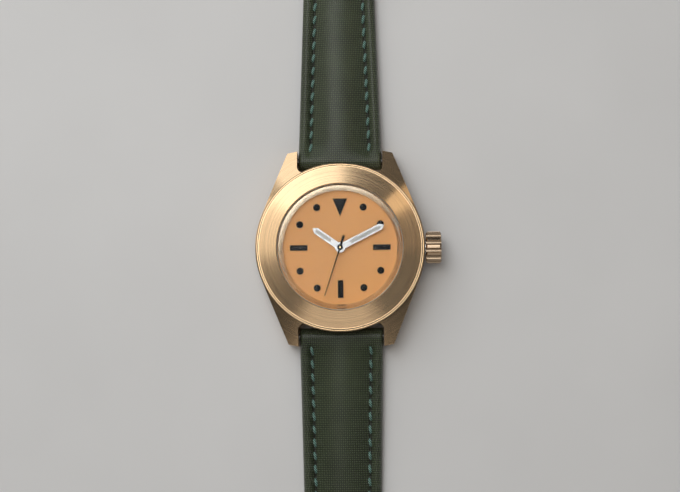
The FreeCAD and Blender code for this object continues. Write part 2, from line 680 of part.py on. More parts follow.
stem_hole = d.stem_thin + d.press
hole_end = d.crown_length - d.crown_face
crown = turned("crown", [
    (d.crown_cup, 0), (d.crown_radius - d.crown_edge, 0), (d.crown_radius, d.crown_edge),
    (d.crown_radius, d.crown_length - d.crown_edge), (d.crown_radius - d.crown_edge, d.crown_length),
    (0, d.crown_length + d.crown_dome), (0, hole_end), (stem_hole, hole_end),
    (stem_hole, d.crown_cup_depth), (d.crown_cup, d.crown_cup_depth),
])
flute = drill(crown, 0, d.crown_length + PAST, (d.flute_radius, d.crown_radius + d.flute_centre, 0))
repeat(crown, flute, d.crown_flutes)
place(crown, d.crown_start, 0, d.stem_height, ALONG_X)

crown_seal = turned("crown_gasket", box_points(
    d.tube_radius + d.press, 0, d.crown_cup - d.press, d.crown_seal_length
))
place(crown_seal, d.crown_start + d.crown_seal_start, 0, d.stem_height, ALONG_X)

stem_outline = [(0, d.stem_start)]
for radius, end in (
        (d.stem_pilot, d.square_end), (d.stem_radius, d.stem_groove), (d.stem_pilot, d.stem_groove_end),
        (d.stem_shoulder, d.stem_shoulder_end), (d.stem_thin, d.stem_end)):
    stem_outline += [(radius, stem_outline[-1][1]), (radius, end)]
stem = turned("winding_stem", stem_outline + [(0, d.stem_end)])
square = d.stem_square / 2
add_plate(stem, d.square_start, d.square_end - d.square_start, box_points(-square, -square, square, square))
place(stem, 0, 0, d.stem_height, ALONG_X)

sliding = turned("sliding_pinion", [
    (0, 0), (d.sliding_radius, 0), (d.sliding_radius, d.sliding_neck_start),
    (d.sliding_neck, d.sliding_neck_start), (d.sliding_neck, d.sliding_neck_end),
    (d.sliding_radius, d.sliding_neck_end), (d.sliding_radius, d.sliding_length), (0, d.sliding_length),
])
slack = square + d.fit / 2
sliding_bore = sketch_on(sliding)
polygon(sliding_bore, box_points(-slack, -slack, slack, slack))
pocket(sliding, sliding_bore, midplane=True)
place(sliding, d.sliding_start, 0, d.stem_height, ALONG_X)

FACE_TOOTH = 0.36
winding = new_body("winding_pinion")
add_gear(winding, d.winding_teeth, d.ratchet_module, d.winding_hub, d.winding_face, share=FACE_TOOTH)
add_discs(winding, 0, d.winding_hub, (d.winding_hub_radius,))
bore(winding, (d.stem_radius + d.post_play,))
place(winding, d.winding_start, 0, d.stem_height, ALONG_X)

# Dial and its markers.
dial = new_body("dial")
add_discs(dial, d.dial_floor, d.dial_thickness, (d.dial_radius,), (d.dial_hole,))
feet = [polar(d.foot_ring, d.foot_bearing + half_turn) for half_turn in (0, 180)]
add_discs(dial, d.dial_floor - d.foot_length, d.foot_length, *[(d.foot_radius, x, y) for x, y in feet])

dots = [polar(d.dot_ring, hour * 30) for hour in range(12) if hour % 3]
baton_half = d.baton_width / 2


def baton(edge):
    """The outline of one bar marker along +X, drawn in by edge."""
    return box_points(
        d.baton_start + edge, -baton_half + edge,
        d.baton_start + d.baton_length - edge, baton_half - edge
    )


def turned_points(points, quarter):
    cos, sin = ((1, 0), (0, 1), (-1, 0), (0, -1))[quarter]
    return [(as_size(a) * cos - as_size(b) * sin, as_size(a) * sin + as_size(b) * cos) for a, b in points]


def triangle(edge):
    """The outline of the twelve o'clock marker, drawn in by edge."""
    half = d.triangle_width / 2
    slope = root(half * half + d.triangle_height * d.triangle_height)
    drop = edge * (slope / half)
    side = (edge * (slope + half)) / d.triangle_height
    top = d.triangle_top - edge
    return [(-half + side, top), (half - side, top), (0, d.triangle_top - d.triangle_height + drop)]


def marker_sketch(body, height, edge):
    sketch = sketch_on(body, height=height)
    for quarter in (0, 2, 3):
        polygon(sketch, turned_points(baton(edge), quarter))
    polygon(sketch, triangle(edge))
    for x, y in dots:
        circle(sketch, d.dot_radius - edge, x, y)
    return sketch


markers = new_body("hour_markers")
marker_top = dial_top + d.marker_height
pad(markers, marker_sketch(markers, dial_top, as_size(0)), d.marker_height)
pocket(markers, marker_sketch(markers, marker_top, d.marker_border), d.marker_height / 2)
inlays = new_body("marker_inlays")
inlay_sketch = marker_sketch(inlays, marker_top - d.marker_height / 2, d.marker_border + d.press)
pad(inlays, inlay_sketch, d.marker_height / 3)


def hand(label, length, level, hole, bearing):
    """A pointed hand with a slot, and the strip that fills the slot."""
    body = new_body(label)
    half = d.hand_width / 2
    shoulder = length - d.hand_point
    add_discs(body, level, d.hand_thickness, (d.hand_hub,))
    add_plate(body, level, d.hand_thickness, [
        (0, -half), (shoulder, -half), (length, 0), (shoulder, half), (0, half),
    ])
    bore(body, (hole,))
    border = (d.hand_width - d.hand_slot) / 2

    def slot(edge):
        side = d.hand_slot / 2 - edge
        return [
            (d.lume_start + edge, -side), (shoulder - border - edge, -side), (shoulder - edge, 0),
            (shoulder - border - edge, side), (d.lume_start + edge, side),
        ]

    slot_sketch = sketch_on(body, height=level)
    polygon(slot_sketch, slot(as_size(0)))
    pocket(body, slot_sketch, d.hand_thickness, reverse=True)
    lume = plate(label + "_lume", level, d.hand_thickness, slot(d.press))
    for piece in (body, lume):
        turn_to(piece, bearing)


def turn_to(piece, bearing):
    """Turns a piece about the watch's axis to a bearing from +X."""
    piece.Placement = Placement(Vector(), about_z(bearing.value))
    bind(piece, "Placement.Rotation.Angle", bearing)


hand("hour_hand", d.hour_length, d.hour_level, d.hour_pipe + d.press, d.hour_bearing)
hand("minute_hand", d.minute_length, d.minute_level, d.cannon_radius + d.press, d.minute_hand_bearing)

seconds = new_body("seconds_hand")
add_discs(seconds, d.seconds_level, d.hand_thickness, (d.seconds_hub,))
seconds_half = d.seconds_width / 2
tail_half = d.tail_width / 2
add_plate(seconds, d.seconds_level, d.hand_thickness, [
    (-d.seconds_tail, -tail_half), (0, -tail_half), (0, -seconds_half),
    (d.seconds_length, -seconds_half / 2), (d.seconds_length, seconds_half / 2), (0, seconds_half),
    (0, tail_half), (-d.seconds_tail, tail_half),
])
add_discs(seconds, d.seconds_pipe_floor, d.seconds_pipe_length, (d.seconds_pipe,))
bore(seconds, (d.arbor_radius + d.press,))
turn_to(seconds, d.seconds_bearing)

# Movement: the main plate, the ring round it and the bridges.
plate_body = turned("main_plate", [
    (0, d.cavity_top), (d.cavity_radius, d.cavity_top), (d.cavity_radius, d.bridge_top),
    (d.movement_radius, d.bridge_top), (d.movement_radius, d.plate_top), (0, d.plate_top),
])
stem_block = box_points(10.25, -1.6, 12.2, 1.6)
pilot_block = box_points(4.9, -0.8, 5.9, 0.8)
pilot_floor = d.stem_height - d.stem_shoulder
add_plate(plate_body, d.bridge_top, d.cavity_top - d.bridge_top, stem_block)
add_plate(plate_body, pilot_floor, d.cavity_top - pilot_floor, pilot_block)
posts = [(d.post_radius,) + minute_spot, (d.post_radius,) + setting_spot]
posts += [(d.lever_post_radius,) + lever_spot, (d.lever_post_radius,) + yoke_spot]
add_discs(plate_body, d.plate_top, d.post_height, *posts)
pilot_hole = d.square_start - d.stem_start + PAST
bore_along_x(plate_body, d.stem_start - PAST, pilot_hole, d.stem_pilot + d.fit, z=d.stem_height)
shoulder_hole = d.movement_radius - d.stem_groove + 2 * PAST
bore_along_x(plate_body, d.stem_groove - PAST, shoulder_hole, d.stem_shoulder + d.fit, z=d.stem_height)
plate_depth = d.plate_top - d.cavity_top
drill(plate_body, d.cavity_top - PAST, plate_depth + 2 * PAST, (d.centre_arbor + d.fit,))
drum_hole = PAST + d.drum_arbor_top + d.fit - d.cavity_top
drill(plate_body, d.cavity_top - PAST, drum_hole, (d.drum_arbor + d.fit,) + barrel_spot)
window = sketch_on(plate_body, height=d.plate_top + PAST)
polygon(window, box_points(d.window_start, -d.window_width / 2, d.window_end, d.window_width / 2))
pocket(plate_body, window, PAST + plate_depth)
pin_slot = sketch_on(plate_body, height=d.plate_top + PAST)
polygon(pin_slot, box_points(d.pin_slot_start, -d.pin_slot_width / 2, d.pin_slot_end, d.pin_slot_width / 2))
pocket(plate_body, pin_slot, PAST + d.plate_top - d.stem_height)
foot_holes = [(d.foot_radius + d.press, x, y) for x, y in feet]
drill(plate_body, d.plate_top - d.foot_hole_depth, PAST, *foot_holes)

jewel_spots = [third_spot, escape_spot, pallet_spot, balance_spot]
jewel_hole = d.jewel_radius + d.press
upper_jewels = [(jewel_hole, x, y) for x, y in jewel_spots]
drill(plate_body, d.cavity_top - PAST, PAST + d.jewel_thickness, *upper_jewels)

every_screw = [polar(d.screw_ring, b) for group in SCREW_BEARINGS.values() for b in group]
screw_hole = d.screw_shank + d.press
screw_end = d.bridge_floor + d.screw_depth
screw_holes = [(screw_hole, x, y) for x, y in every_screw]
drill(plate_body, d.bridge_top - PAST, screw_end - d.bridge_top + PAST, *screw_holes)

ring_body = turned("movement_ring", box_points(
    d.movement_radius + d.press, d.bridge_floor, d.case_bore - d.fit * 2, d.dial_floor
))
ring_width = d.case_bore - d.movement_radius + 2 * PAST
bore_along_x(ring_body, d.movement_radius - PAST, ring_width, d.tube_radius + d.fit, z=d.stem_height)

bridge_thickness = d.bridge_top - d.bridge_floor
crown_wheel_reach = d.crown_wheel_teeth * d.ratchet_module / 2 + d.ratchet_module
origin = (as_size(0), as_size(0))
bridge_jewels = {
    "barrel_bridge": [], "train_bridge": [origin, third_spot, escape_spot],
    "balance_cock": [balance_spot],
}
for label, outline in BRIDGE_OUTLINES.items():
    bridge = plate(label, d.bridge_floor, bridge_thickness, outline)
    trim = sketch_on(bridge, height=d.bridge_floor)
    circle(trim, d.bridge_radius)
    circle(trim, 2 * BRIDGE_REACH)
    pocket(bridge, trim, bridge_thickness, reverse=True)
    bore(bridge, *[(screw_hole,) + polar(d.screw_ring, b) for b in SCREW_BEARINGS[label]])
    if bridge_jewels[label]:
        holes = [(jewel_hole, x, y) for x, y in bridge_jewels[label]]
        drill(bridge, d.bridge_top - d.jewel_thickness, PAST, *holes)
    if label == "barrel_bridge":
        bore(bridge, (d.drum_arbor + d.fit,) + barrel_spot)
        recess = d.winding_level + d.crown_wheel_height + d.fit - d.bridge_floor + PAST
        drill(bridge, d.bridge_floor - PAST, recess, (crown_wheel_reach + 2 * d.fit, crown_wheel_x, 0))
        pinion_room = sketch_on(bridge, height=d.bridge_floor - PAST)
        polygon(pinion_room, box_points(9.1, -1.6, 10.25, 1.6))
        pocket(bridge, pinion_room, bridge_thickness + 2 * PAST, reverse=True)
        boss_height = d.bridge_top - 2 * d.fit - d.winding_level
        add_discs(bridge, d.winding_level, boss_height, (d.crown_wheel_boss, crown_wheel_x, 0))

screws_body = new_body("bridge_screws")
shanks = [(d.screw_shank, x, y) for x, y in every_screw]
heads = [(d.screw_head, x, y) for x, y in every_screw]
add_discs(screws_body, d.bridge_floor - d.screw_height, d.screw_height, *heads)
add_discs(screws_body, d.bridge_floor, d.screw_depth, *shanks)
wheel_screw_floor = d.winding_level - d.crown_wheel_screw_height
wheel_screw = (d.crown_wheel_screw, crown_wheel_x, 0)
add_discs(screws_body, wheel_screw_floor, d.crown_wheel_screw_height, wheel_screw)

jewels = new_body("jewels")
seats = [
    (d.bridge_top - d.jewel_thickness, [origin, third_spot, escape_spot, balance_spot]),
    (d.cavity_top, jewel_spots),
]
for level, spots in seats:
    rings = []
    for x, y in spots:
        rings += [(d.jewel_radius, x, y), (d.arbor_radius + d.jewel_play, x, y)]
    add_discs(jewels, level, d.jewel_thickness, *rings)

pallet_cock = new_body("pallet_bridge")
cock_end = d.cock_post_ring + d.cock_post
cock_half = d.cock_width / 2
cock_outline = box_points(-cock_half, -cock_end, cock_half, cock_end)
add_plate(pallet_cock, d.cock_floor, d.cock_thickness, cock_outline)
cock_posts = [(d.cock_post, 0, side * d.cock_post_ring) for side in (1, -1)]
add_discs(pallet_cock, d.cock_floor, d.cavity_top - d.cock_floor, *cock_posts)
bore(pallet_cock, (d.arbor_radius + d.jewel_play,))
place(pallet_cock, *pallet_spot, 0, about_z(pallet_bearing))

axle = turned("rotor_axle", [
    (0, d.axle_floor), (d.axle_head, d.axle_floor), (d.axle_head, d.axle_head_top),
    (d.axle_radius, d.axle_head_top), (d.axle_radius, d.bridge_floor), (0, d.bridge_floor),
])


# Going train. Each wheel stands between the teeth of the one that drives it.
def wheel(label, teeth, module, floor, spot, turn):
    """A spoked wheel with its lower face at floor."""
    body = new_body(label)
    add_gear(body, teeth, module, floor, d.wheel_thickness)
    windows(body, floor, d.spoke_hub, root_circle(teeth, module) - d.wheel_rim)
    place(body, *spot, 0, about_z(turn))
    return body


def arbor(body, low, high):
    add_discs(body, low, high - low, (d.arbor_radius,))


low_pivot = d.bridge_top - d.jewel_thickness + d.pivot_play
high_pivot = d.cavity_top + d.jewel_thickness - d.pivot_play
barrel_turn = mesh_turn(d.centre_pinion, 0, d.barrel_teeth, d.barrel_bearing.value)
third_turn = mesh_turn(d.centre_teeth, 0, d.third_pinion, d.third_bearing.value)
fourth_turn = mesh_turn(d.third_teeth, third_turn, d.fourth_pinion, d.third_bearing.value + 180)
escape_turn = mesh_turn(d.fourth_teeth, fourth_turn, d.escape_pinion, d.escape_bearing.value)
minute_turn = mesh_turn(d.cannon_teeth, 0, d.minute_teeth, d.minute_bearing.value)
hour_turn = mesh_turn(d.minute_pinion, minute_turn, d.hour_teeth, d.minute_bearing.value + 180)
setting_turn = mesh_turn(d.minute_teeth, minute_turn, d.setting_teeth, d.setting_bearing.value)
crown_wheel_turn = 180 / d.crown_wheel_teeth.value
ratchet_x = barrel_spot[0].value - crown_wheel_x.value
ratchet_direction = math.degrees(math.atan2(barrel_spot[1].value, ratchet_x))
ratchet_turn = mesh_turn(d.crown_wheel_teeth, crown_wheel_turn, d.ratchet_teeth, ratchet_direction)

centre = wheel("centre_wheel", d.centre_teeth, d.centre_module, d.centre_level, origin, 0)
add_gear(centre, d.centre_pinion, d.barrel_module, d.centre_pinion_level, d.centre_pinion_face)
add_discs(centre, d.centre_arbor_floor, d.centre_arbor_top - d.centre_arbor_floor, (d.centre_arbor,))
bore(centre, (d.arbor_radius + d.fit,))

cannon = new_body("cannon_pinion")
add_gear(cannon, d.cannon_teeth, d.motion_module, d.motion_level, d.cannon_face)
add_discs(cannon, d.cannon_pipe_level, d.cannon_top - d.cannon_pipe_level, (d.cannon_radius,))
bore(cannon, (d.centre_arbor + d.press,))

third = wheel("third_wheel", d.third_teeth, third_module, d.third_level, third_spot, third_turn)
add_gear(third, d.third_pinion, d.centre_module, d.third_pinion_level, d.pinion_face)
arbor(third, low_pivot, high_pivot)

fourth = wheel("fourth_wheel", d.fourth_teeth, d.fourth_module, d.fourth_level, origin, fourth_turn)
add_gear(fourth, d.fourth_pinion, third_module, d.fourth_pinion_level, d.pinion_face)
arbor(fourth, low_pivot, d.fourth_top)

# Escape wheel: hooked teeth on a thin disc.
escape = new_body("escape_wheel")
escape_root = d.escape_radius - d.escape_tooth
tooth_foot = escape_root - 0.1
add_discs(escape, d.escape_level, d.escape_thickness, (escape_root + d.fit,))
escape_tooth = add_plate(escape, d.escape_level, d.escape_thickness, [
    (tooth_foot, -0.16), (d.escape_radius, 0.1), (d.escape_radius - 0.03, 0.22), (tooth_foot, 0.1),
])
repeat(escape, escape_tooth, d.escape_teeth)
add_gear(escape, d.escape_pinion, d.fourth_module, d.escape_pinion_level, d.escape_pinion_face)
arbor(escape, low_pivot, high_pivot)
place(escape, *escape_spot, 0, about_z(escape_turn))

# Pallet fork: a tail with a notch for the roller pin at -X, and two arms for the stones.
FORK_HALF = [
    (-1.35, 0.1), (-1.55, 0.1), (-1.55, 0.2), (-1.2, 0.16), (-0.3, 0.2), (0.1, 1.4), (0.45, 1.45),
    (0.3, 0.5),
]
STONE_HALF = [(0.14, 1.0), (0.42, 0.98), (0.4, 1.32), (0.2, 1.36)]
fork = new_body("pallet_fork")
other_half = [(a, -b) for a, b in reversed(FORK_HALF)]
add_plate(fork, d.fork_level, d.fork_thickness, FORK_HALF + [(0.45, 0)] + other_half)
arbor(fork, d.fork_foot, high_pivot)
place(fork, *pallet_spot, 0, about_z(pallet_bearing + 180))

stones = plate("pallet_stones", d.escape_level, d.stone_thickness, *[
    [(a, side * b) for a, b in STONE_HALF] for side in (1, -1)
])
place(stones, *pallet_spot, 0, about_z(pallet_bearing + 180))

balance = new_body("balance_wheel")
rim_inner = d.balance_radius - d.balance_rim
add_discs(balance, d.balance_level, d.balance_height, (d.balance_radius,), (rim_inner,))
arm = d.balance_radius - d.balance_rim / 2
arm_half = d.balance_arm_width / 2
arm_points = box_points(-arm, -arm_half, arm, arm_half)
add_plate(balance, d.balance_arm_level, d.balance_arm_height, arm_points)
add_discs(balance, d.balance_level, d.balance_height, (d.balance_hub,))
add_discs(balance, d.roller_level, d.roller_height, (d.roller_radius,))
pin_floor = d.roller_level + d.roller_height
pin_height = d.fork_level + d.fork_thickness - pin_floor
add_discs(balance, pin_floor, pin_height, (d.roller_pin, d.roller_pin_place, 0))
arbor(balance, low_pivot, high_pivot)
place(balance, *balance_spot, 0, about_z(pallet_bearing + 180))

spiral(
    "hairspring", d.hairspring_start, d.hairspring_end, d.hairspring_turns, d.hairspring_strip,
    d.hairspring_level, d.hairspring_height, balance_spot + (0,),
)

# Barrel with its spring, arbor and cover, and the winding wheels.
barrel = new_body("barrel")
barrel_gear_face = d.barrel_top - d.barrel_gear_level
add_gear(barrel, d.barrel_teeth, d.barrel_module, d.barrel_gear_level, barrel_gear_face)
drum_discs = ((d.barrel_drum,), (d.barrel_drum_bore,))
add_discs(barrel, d.barrel_floor, d.barrel_gear_level - d.barrel_floor, *drum_discs)
bore(barrel, (d.drum_arbor + d.fit,))
place(barrel, *barrel_spot, 0, about_z(barrel_turn))
cover = new_body("barrel_cover")
cover_discs = ((d.barrel_drum_bore - d.press,), (d.drum_arbor + d.fit,))
add_discs(cover, d.barrel_floor, d.barrel_cover, *cover_discs)
place(cover, *barrel_spot)
spiral(
    "mainspring", d.mainspring_start, d.mainspring_end, d.mainspring_turns, d.mainspring_strip,
    d.mainspring_level, d.mainspring_height, barrel_spot + (0,),
)

drum_arbor = new_body("barrel_arbor")
drum_floor = d.winding_level - d.pivot_play
add_discs(drum_arbor, drum_floor - d.drum_arbor_head_height, d.drum_arbor_head_height, (d.drum_arbor_head,))
add_discs(drum_arbor, drum_floor, d.drum_arbor_top - drum_floor, (d.drum_arbor,))
add_discs(drum_arbor, d.mainspring_level, d.mainspring_height, (d.drum_arbor_core,))
place(drum_arbor, *barrel_spot)

ratchet = new_body("ratchet_wheel")
add_gear(ratchet, d.ratchet_teeth, d.ratchet_module, d.winding_level, d.winding_thickness)
bore(ratchet, (d.drum_arbor + d.press,))
place(ratchet, *barrel_spot, 0, about_z(ratchet_turn))

crown_wheel = new_body("crown_wheel")
add_gear(
    crown_wheel, d.crown_wheel_teeth, d.ratchet_module, d.winding_level, d.crown_wheel_height,
    share=FACE_TOOTH,
)
bore(crown_wheel, (d.crown_wheel_boss + d.fit,))
place(crown_wheel, crown_wheel_x, 0, 0, about_z(crown_wheel_turn))

click = new_body("click")
click_half = d.click_width / 2
beak_start = d.click_reach - d.click_beak
neck_half = d.click_neck / 2
tip_half = d.click_tip / 2
add_discs(click, d.winding_level, d.winding_thickness, (d.click_hub,))
add_plate(click, d.winding_level, d.winding_thickness, [
    (0, -click_half), (beak_start, -neck_half), (d.click_reach, -tip_half), (d.click_reach, tip_half),
    (beak_start, neck_half), (0, click_half),
])
bore(click, (d.click_bore,))
ratchet_radius = d.ratchet_teeth * d.ratchet_module / 2
click_step = polar(ratchet_radius - d.click_back + d.click_reach, d.click_bearing)
click_spot = (barrel_spot[0] + click_step[0], barrel_spot[1] + click_step[1])
place(click, *click_spot, 0, about_z(d.click_bearing.value + 180))

# Motion works, under the dial.
minute_wheel = new_body("minute_wheel")
add_gear(minute_wheel, d.minute_teeth, d.motion_module, d.motion_level, d.motion_thickness)
add_gear(minute_wheel, d.minute_pinion, hour_module, d.minute_pinion_level, d.minute_pinion_face)
collar_floor = d.motion_level + d.motion_thickness / 2
collar_height = d.minute_pinion_level - collar_floor + d.fit
add_discs(minute_wheel, collar_floor, collar_height, (d.post_radius + d.collar_wall,))
bore(minute_wheel, (d.post_radius + d.post_play,))
place(minute_wheel, *minute_spot, 0, about_z(minute_turn))

hour_wheel = new_body("hour_wheel")
add_gear(hour_wheel, d.hour_teeth, hour_module, d.hour_wheel_level, d.hour_wheel_thickness)
add_discs(hour_wheel, d.hour_wheel_level, d.hour_pipe_top - d.hour_wheel_level, (d.hour_pipe,))
bore(hour_wheel, (d.cannon_radius + d.fit,))
place(hour_wheel, 0, 0, 0, about_z(hour_turn))

setting_wheel = new_body("setting_wheel")
add_gear(setting_wheel, d.setting_teeth, d.motion_module, d.motion_level, d.motion_thickness)
bore(setting_wheel, (d.post_radius + d.post_play,))
place(setting_wheel, *setting_spot, 0, about_z(setting_turn))


def lever(label, hub, arm_outline, pin, spot):
    """A flat lever on its post, with a pin, (radius, x, y, floor), that reaches down to the stem."""
    body = new_body(label)
    radius, pin_x, pin_y, floor = pin
    add_discs(body, d.lever_level, d.lever_thickness, (hub,))
    add_plate(body, d.lever_level, d.lever_thickness, arm_outline)
    add_discs(body, floor, d.lever_level + d.lever_thickness / 2 - floor, (radius, pin_x, pin_y))
    drill(body, d.lever_level - PAST, d.lever_thickness + 2 * PAST, (d.lever_post_radius + d.post_play,))
    place(body, *spot)


lever_end = d.lever_pin_y - 0.1
lever_arm = [(0.4, 0.3), (-0.7, 0.1), (d.lever_pin_x - 0.4, lever_end), (d.lever_pin_x + 0.4, lever_end)]
lever_pin = (d.lever_pin, d.lever_pin_x, d.lever_pin_y, d.lever_pin_floor)
lever("setting_lever", d.lever_hub, lever_arm, lever_pin, lever_spot)
yoke_end = d.yoke_pin_y - 0.1
yoke_arm = [(0.4, 0.2), (-0.5, 0.2), (d.yoke_pin_x - 0.35, yoke_end), (d.yoke_pin_x + 0.35, yoke_end)]
yoke_pin = (d.yoke_pin, d.yoke_pin_x, d.yoke_pin_y, d.yoke_pin_floor)
lever("yoke", d.yoke_hub, yoke_arm, yoke_pin, yoke_spot)

# Rotor: a half disc with a heavy rim, on its axle.
rotor_hole = d.axle_radius + d.fit
rotor_under = d.rotor_top - d.rotor_web
rotor = turned("rotor", [
    (rotor_hole, d.rotor_hub_floor), (d.rotor_hub, d.rotor_hub_floor), (d.rotor_hub, rotor_under),
    (d.rotor_inner, rotor_under), (d.rotor_inner, d.rotor_floor), (d.rotor_radius, d.rotor_floor),
    (d.rotor_radius, d.rotor_top), (rotor_hole, d.rotor_top),
])
rotor_past = d.rotor_radius + PAST
hub_past = d.rotor_hub + 2 * d.fit
cut_through(rotor, "XY_Plane", [
    (-rotor_past, -rotor_past), (rotor_past, -rotor_past), (rotor_past, 0), (hub_past, 0),
    (hub_past, -hub_past), (-hub_past, -hub_past), (-hub_past, 0), (-rotor_past, 0),
])

# Spring bars between the lugs, one node for the pair.
bars_body = new_body("lug_spring_bars")
bar_sizes = (
    (d.bar_radius, d.lug_gap - d.bar_play), (d.bar_tip_radius, d.lug_gap + d.bar_tip_reach * 2),
)
for radius, length in bar_sizes:
    bar_sketch = sketch_on(bars_body, "YZ_Plane")
    for y in (d.bar_place, -d.bar_place):
        circle(bar_sketch, radius, y, d.bar_height)
    pad(bars_body, bar_sketch, length, midplane=True)


END_STEPS = 8


def half_round(y, z, radius, start):
    """Points of a half circle round (y, z), clockwise from a start angle in degrees."""
    points = []
    for k in range(END_STEPS + 1):
        angle = math.radians(start - 180 * k / END_STEPS)
        points.append((as_size(y) + radius * math.cos(angle), z + radius * math.sin(angle)))
    return points


def strap(label, side_outline, length, taper, tip):
    """A strap half along +Y from its spring bar, from the outline of its side."""
    body = new_body(label)
    side = sketch_on(body, "YZ_Plane")
    polygon(side, side_outline)
    wide = (d.lug_gap - d.strap_clearance) / 2
    pad(body, side, wide * 2, midplane=True)
    narrow = d.strap_end_width / 2
    out = wide + PAST
    trim = [(out, 0), (wide, 0), (narrow, taper)]
    if tip:
        trim += [(narrow, length - d.tip_length), (d.tip_shoulder / 2, length - d.tip_shoulder_place)]
        trim += [(d.tip_width / 2, length)]
    else:
        trim += [(narrow, length)]
    past = length + d.buckle_loop + PAST
    trim += [(trim[-1][0], past), (out, past)]
    cut_through(body, "XY_Plane", trim, mirrored(trim))
    bar = sketch_on(body, "YZ_Plane")
    circle(bar, d.bar_radius + d.fit, 0, d.bar_height)
    pocket(body, bar, midplane=True)
    return body


half_lug = d.strap_lug_thickness / 2
buckle_height = d.short_lift + d.buckle_loop
short_top = d.short_lift + d.strap_end_thickness
bar_end = half_round(0, d.bar_height, half_lug, 270)[::-1]
short = strap("strap_buckle_side", bar_end + [
    (d.short_rise, d.short_lift), (d.short_length, d.short_lift),
] + half_round(d.short_length, buckle_height, d.buckle_loop, 90)[::-1][1:] + [
    (d.short_length - d.short_end, short_top), (d.short_thinning, short_top),
], d.short_length, d.short_taper, False)
buckle_hole = sketch_on(short, "YZ_Plane")
circle(buckle_hole, d.buckle_bar_radius + d.fit, d.short_length, buckle_height)
pocket(short, buckle_hole, midplane=True)
slot_half = d.slot_width / 2
slot_far = d.short_length + d.buckle_loop + PAST
cut_through(short, "XY_Plane", box_points(-slot_half, d.short_length - d.slot_start, slot_half, slot_far))
place(short, 0, d.bar_place, 0)

long = strap("strap_tail_side", bar_end + [
    (d.long_rise, 0), (d.long_length, 0), (d.long_length, d.tip_thickness),
    (d.long_length - d.tip_thinning, d.strap_end_thickness), (d.long_thinning, d.strap_end_thickness),
], d.long_length, d.long_taper, True)
hole_sketch = sketch_on(long, "XY_Plane", -PAST)
for k in range(int(d.hole_count.value)):
    circle(hole_sketch, d.hole_radius, 0, d.hole_start + d.hole_pitch * k)
pocket(long, hole_sketch, midplane=True)
place(long, 0, -d.bar_place, 0, about_z(180))


def keeper(label, from_buckle, under_gap):
    """A band round the short strap. Its room above the strap takes the long strap's end."""
    body = new_body(label)
    inner = (d.strap_end_width + d.keeper_slack) / 2
    low = d.short_lift - under_gap
    high = short_top + d.keeper_room
    across, floor, roof = inner + d.keeper_band, low - d.keeper_band, high + d.keeper_band
    cut = d.keeper_corner
    right = [(across - cut, floor), (across, floor + cut), (across, roof - cut), (across - cut, roof)]
    side = sketch_on(body, "XZ_Plane")
    polygon(side, right + mirrored(right[::-1]))
    polygon(side, box_points(-inner, low, inner, high))
    pad(body, side, d.keeper_width, midplane=True)
    place(body, 0, d.bar_place + d.short_length - from_buckle, 0)


keeper("fixed_keeper", d.fixed_keeper, as_size(0))
keeper("sliding_keeper", d.free_keeper, d.fit)

# Pin buckle on the short strap's end.
buckle = new_body("buckle_frame")
inside = d.strap_end_width / 2 + d.buckle_play
outside = inside + d.buckle_arm
frame_end = d.buckle_reach + d.buckle_bar_depth
frame_top = buckle_height + d.buckle_thickness / 2
frame_half = [
    (inside - d.buckle_inner_corner, d.buckle_reach), (inside, d.buckle_reach - d.buckle_inner_corner),
    (inside, -d.buckle_tail), (outside - d.buckle_tail_edge, -d.buckle_tail),
    (outside, -d.buckle_tail + d.buckle_tail_edge), (outside, frame_end - d.buckle_corner),
    (outside - d.buckle_corner, frame_end),
]
frame_floor = buckle_height - d.buckle_thickness / 2
add_plate(buckle, frame_floor, d.buckle_thickness, frame_half + mirrored(frame_half[::-1]))
tongue_half = d.tongue_width / 2
notch_half = tongue_half + d.notch_play
cut_notch = sketch_on(buckle, "XZ_Plane")
polygon(cut_notch, box_points(-notch_half, frame_top - d.notch_depth, notch_half, frame_top + PAST))
pocket(buckle, cut_notch, midplane=True)
buckle_bar_holes = sketch_on(buckle, "YZ_Plane")
circle(buckle_bar_holes, d.buckle_bar_tip + d.fit, 0, buckle_height)
pocket(buckle, buckle_bar_holes, (inside + d.buckle_tip_hole) * 2, midplane=True)
place(buckle, 0, d.bar_place + d.short_length, 0)

buckle_bar = new_body("buckle_spring_bar")
buckle_bar_sizes = (
    (d.buckle_bar_radius, (inside - d.fit) * 2), (d.buckle_bar_tip, (inside + d.buckle_tip_reach) * 2),
)
for radius, length in buckle_bar_sizes:
    bar_sketch = sketch_on(buckle_bar, "YZ_Plane")
    circle(bar_sketch, radius, 0, buckle_height)
    pad(buckle_bar, bar_sketch, length, midplane=True)
place(buckle_bar, 0, d.bar_place + d.short_length, 0)

# The tongue lies across the frame, in its notch, and thins towards its end.
tongue = new_body("buckle_tongue")
tongue_side = sketch_on(tongue, "YZ_Plane")
eye = d.buckle_bar_radius + d.tongue_eye
rest = frame_top - d.notch_depth + d.fit
tongue_end = frame_end - 0.3
tongue_flat = d.buckle_reach - d.buckle_inner_corner
tongue_top = rest + d.tongue_thickness
polygon(tongue_side, half_round(0, buckle_height, eye, 270)[::-1] + [
    (d.tongue_heel, buckle_height - 0.2), (tongue_flat, rest), (tongue_end, rest),
    (tongue_end, rest + d.tongue_thickness * 0.6), (tongue_end - 0.9, tongue_top), (tongue_flat, tongue_top),
])
pad(tongue, tongue_side, d.tongue_width, midplane=True)
eye_hole = sketch_on(tongue, "YZ_Plane")
circle(eye_hole, d.buckle_bar_radius + d.fit, 0, buckle_height)
pocket(tongue, eye_hole, midplane=True)
place(tongue, 0, d.bar_place + d.short_length, 0)

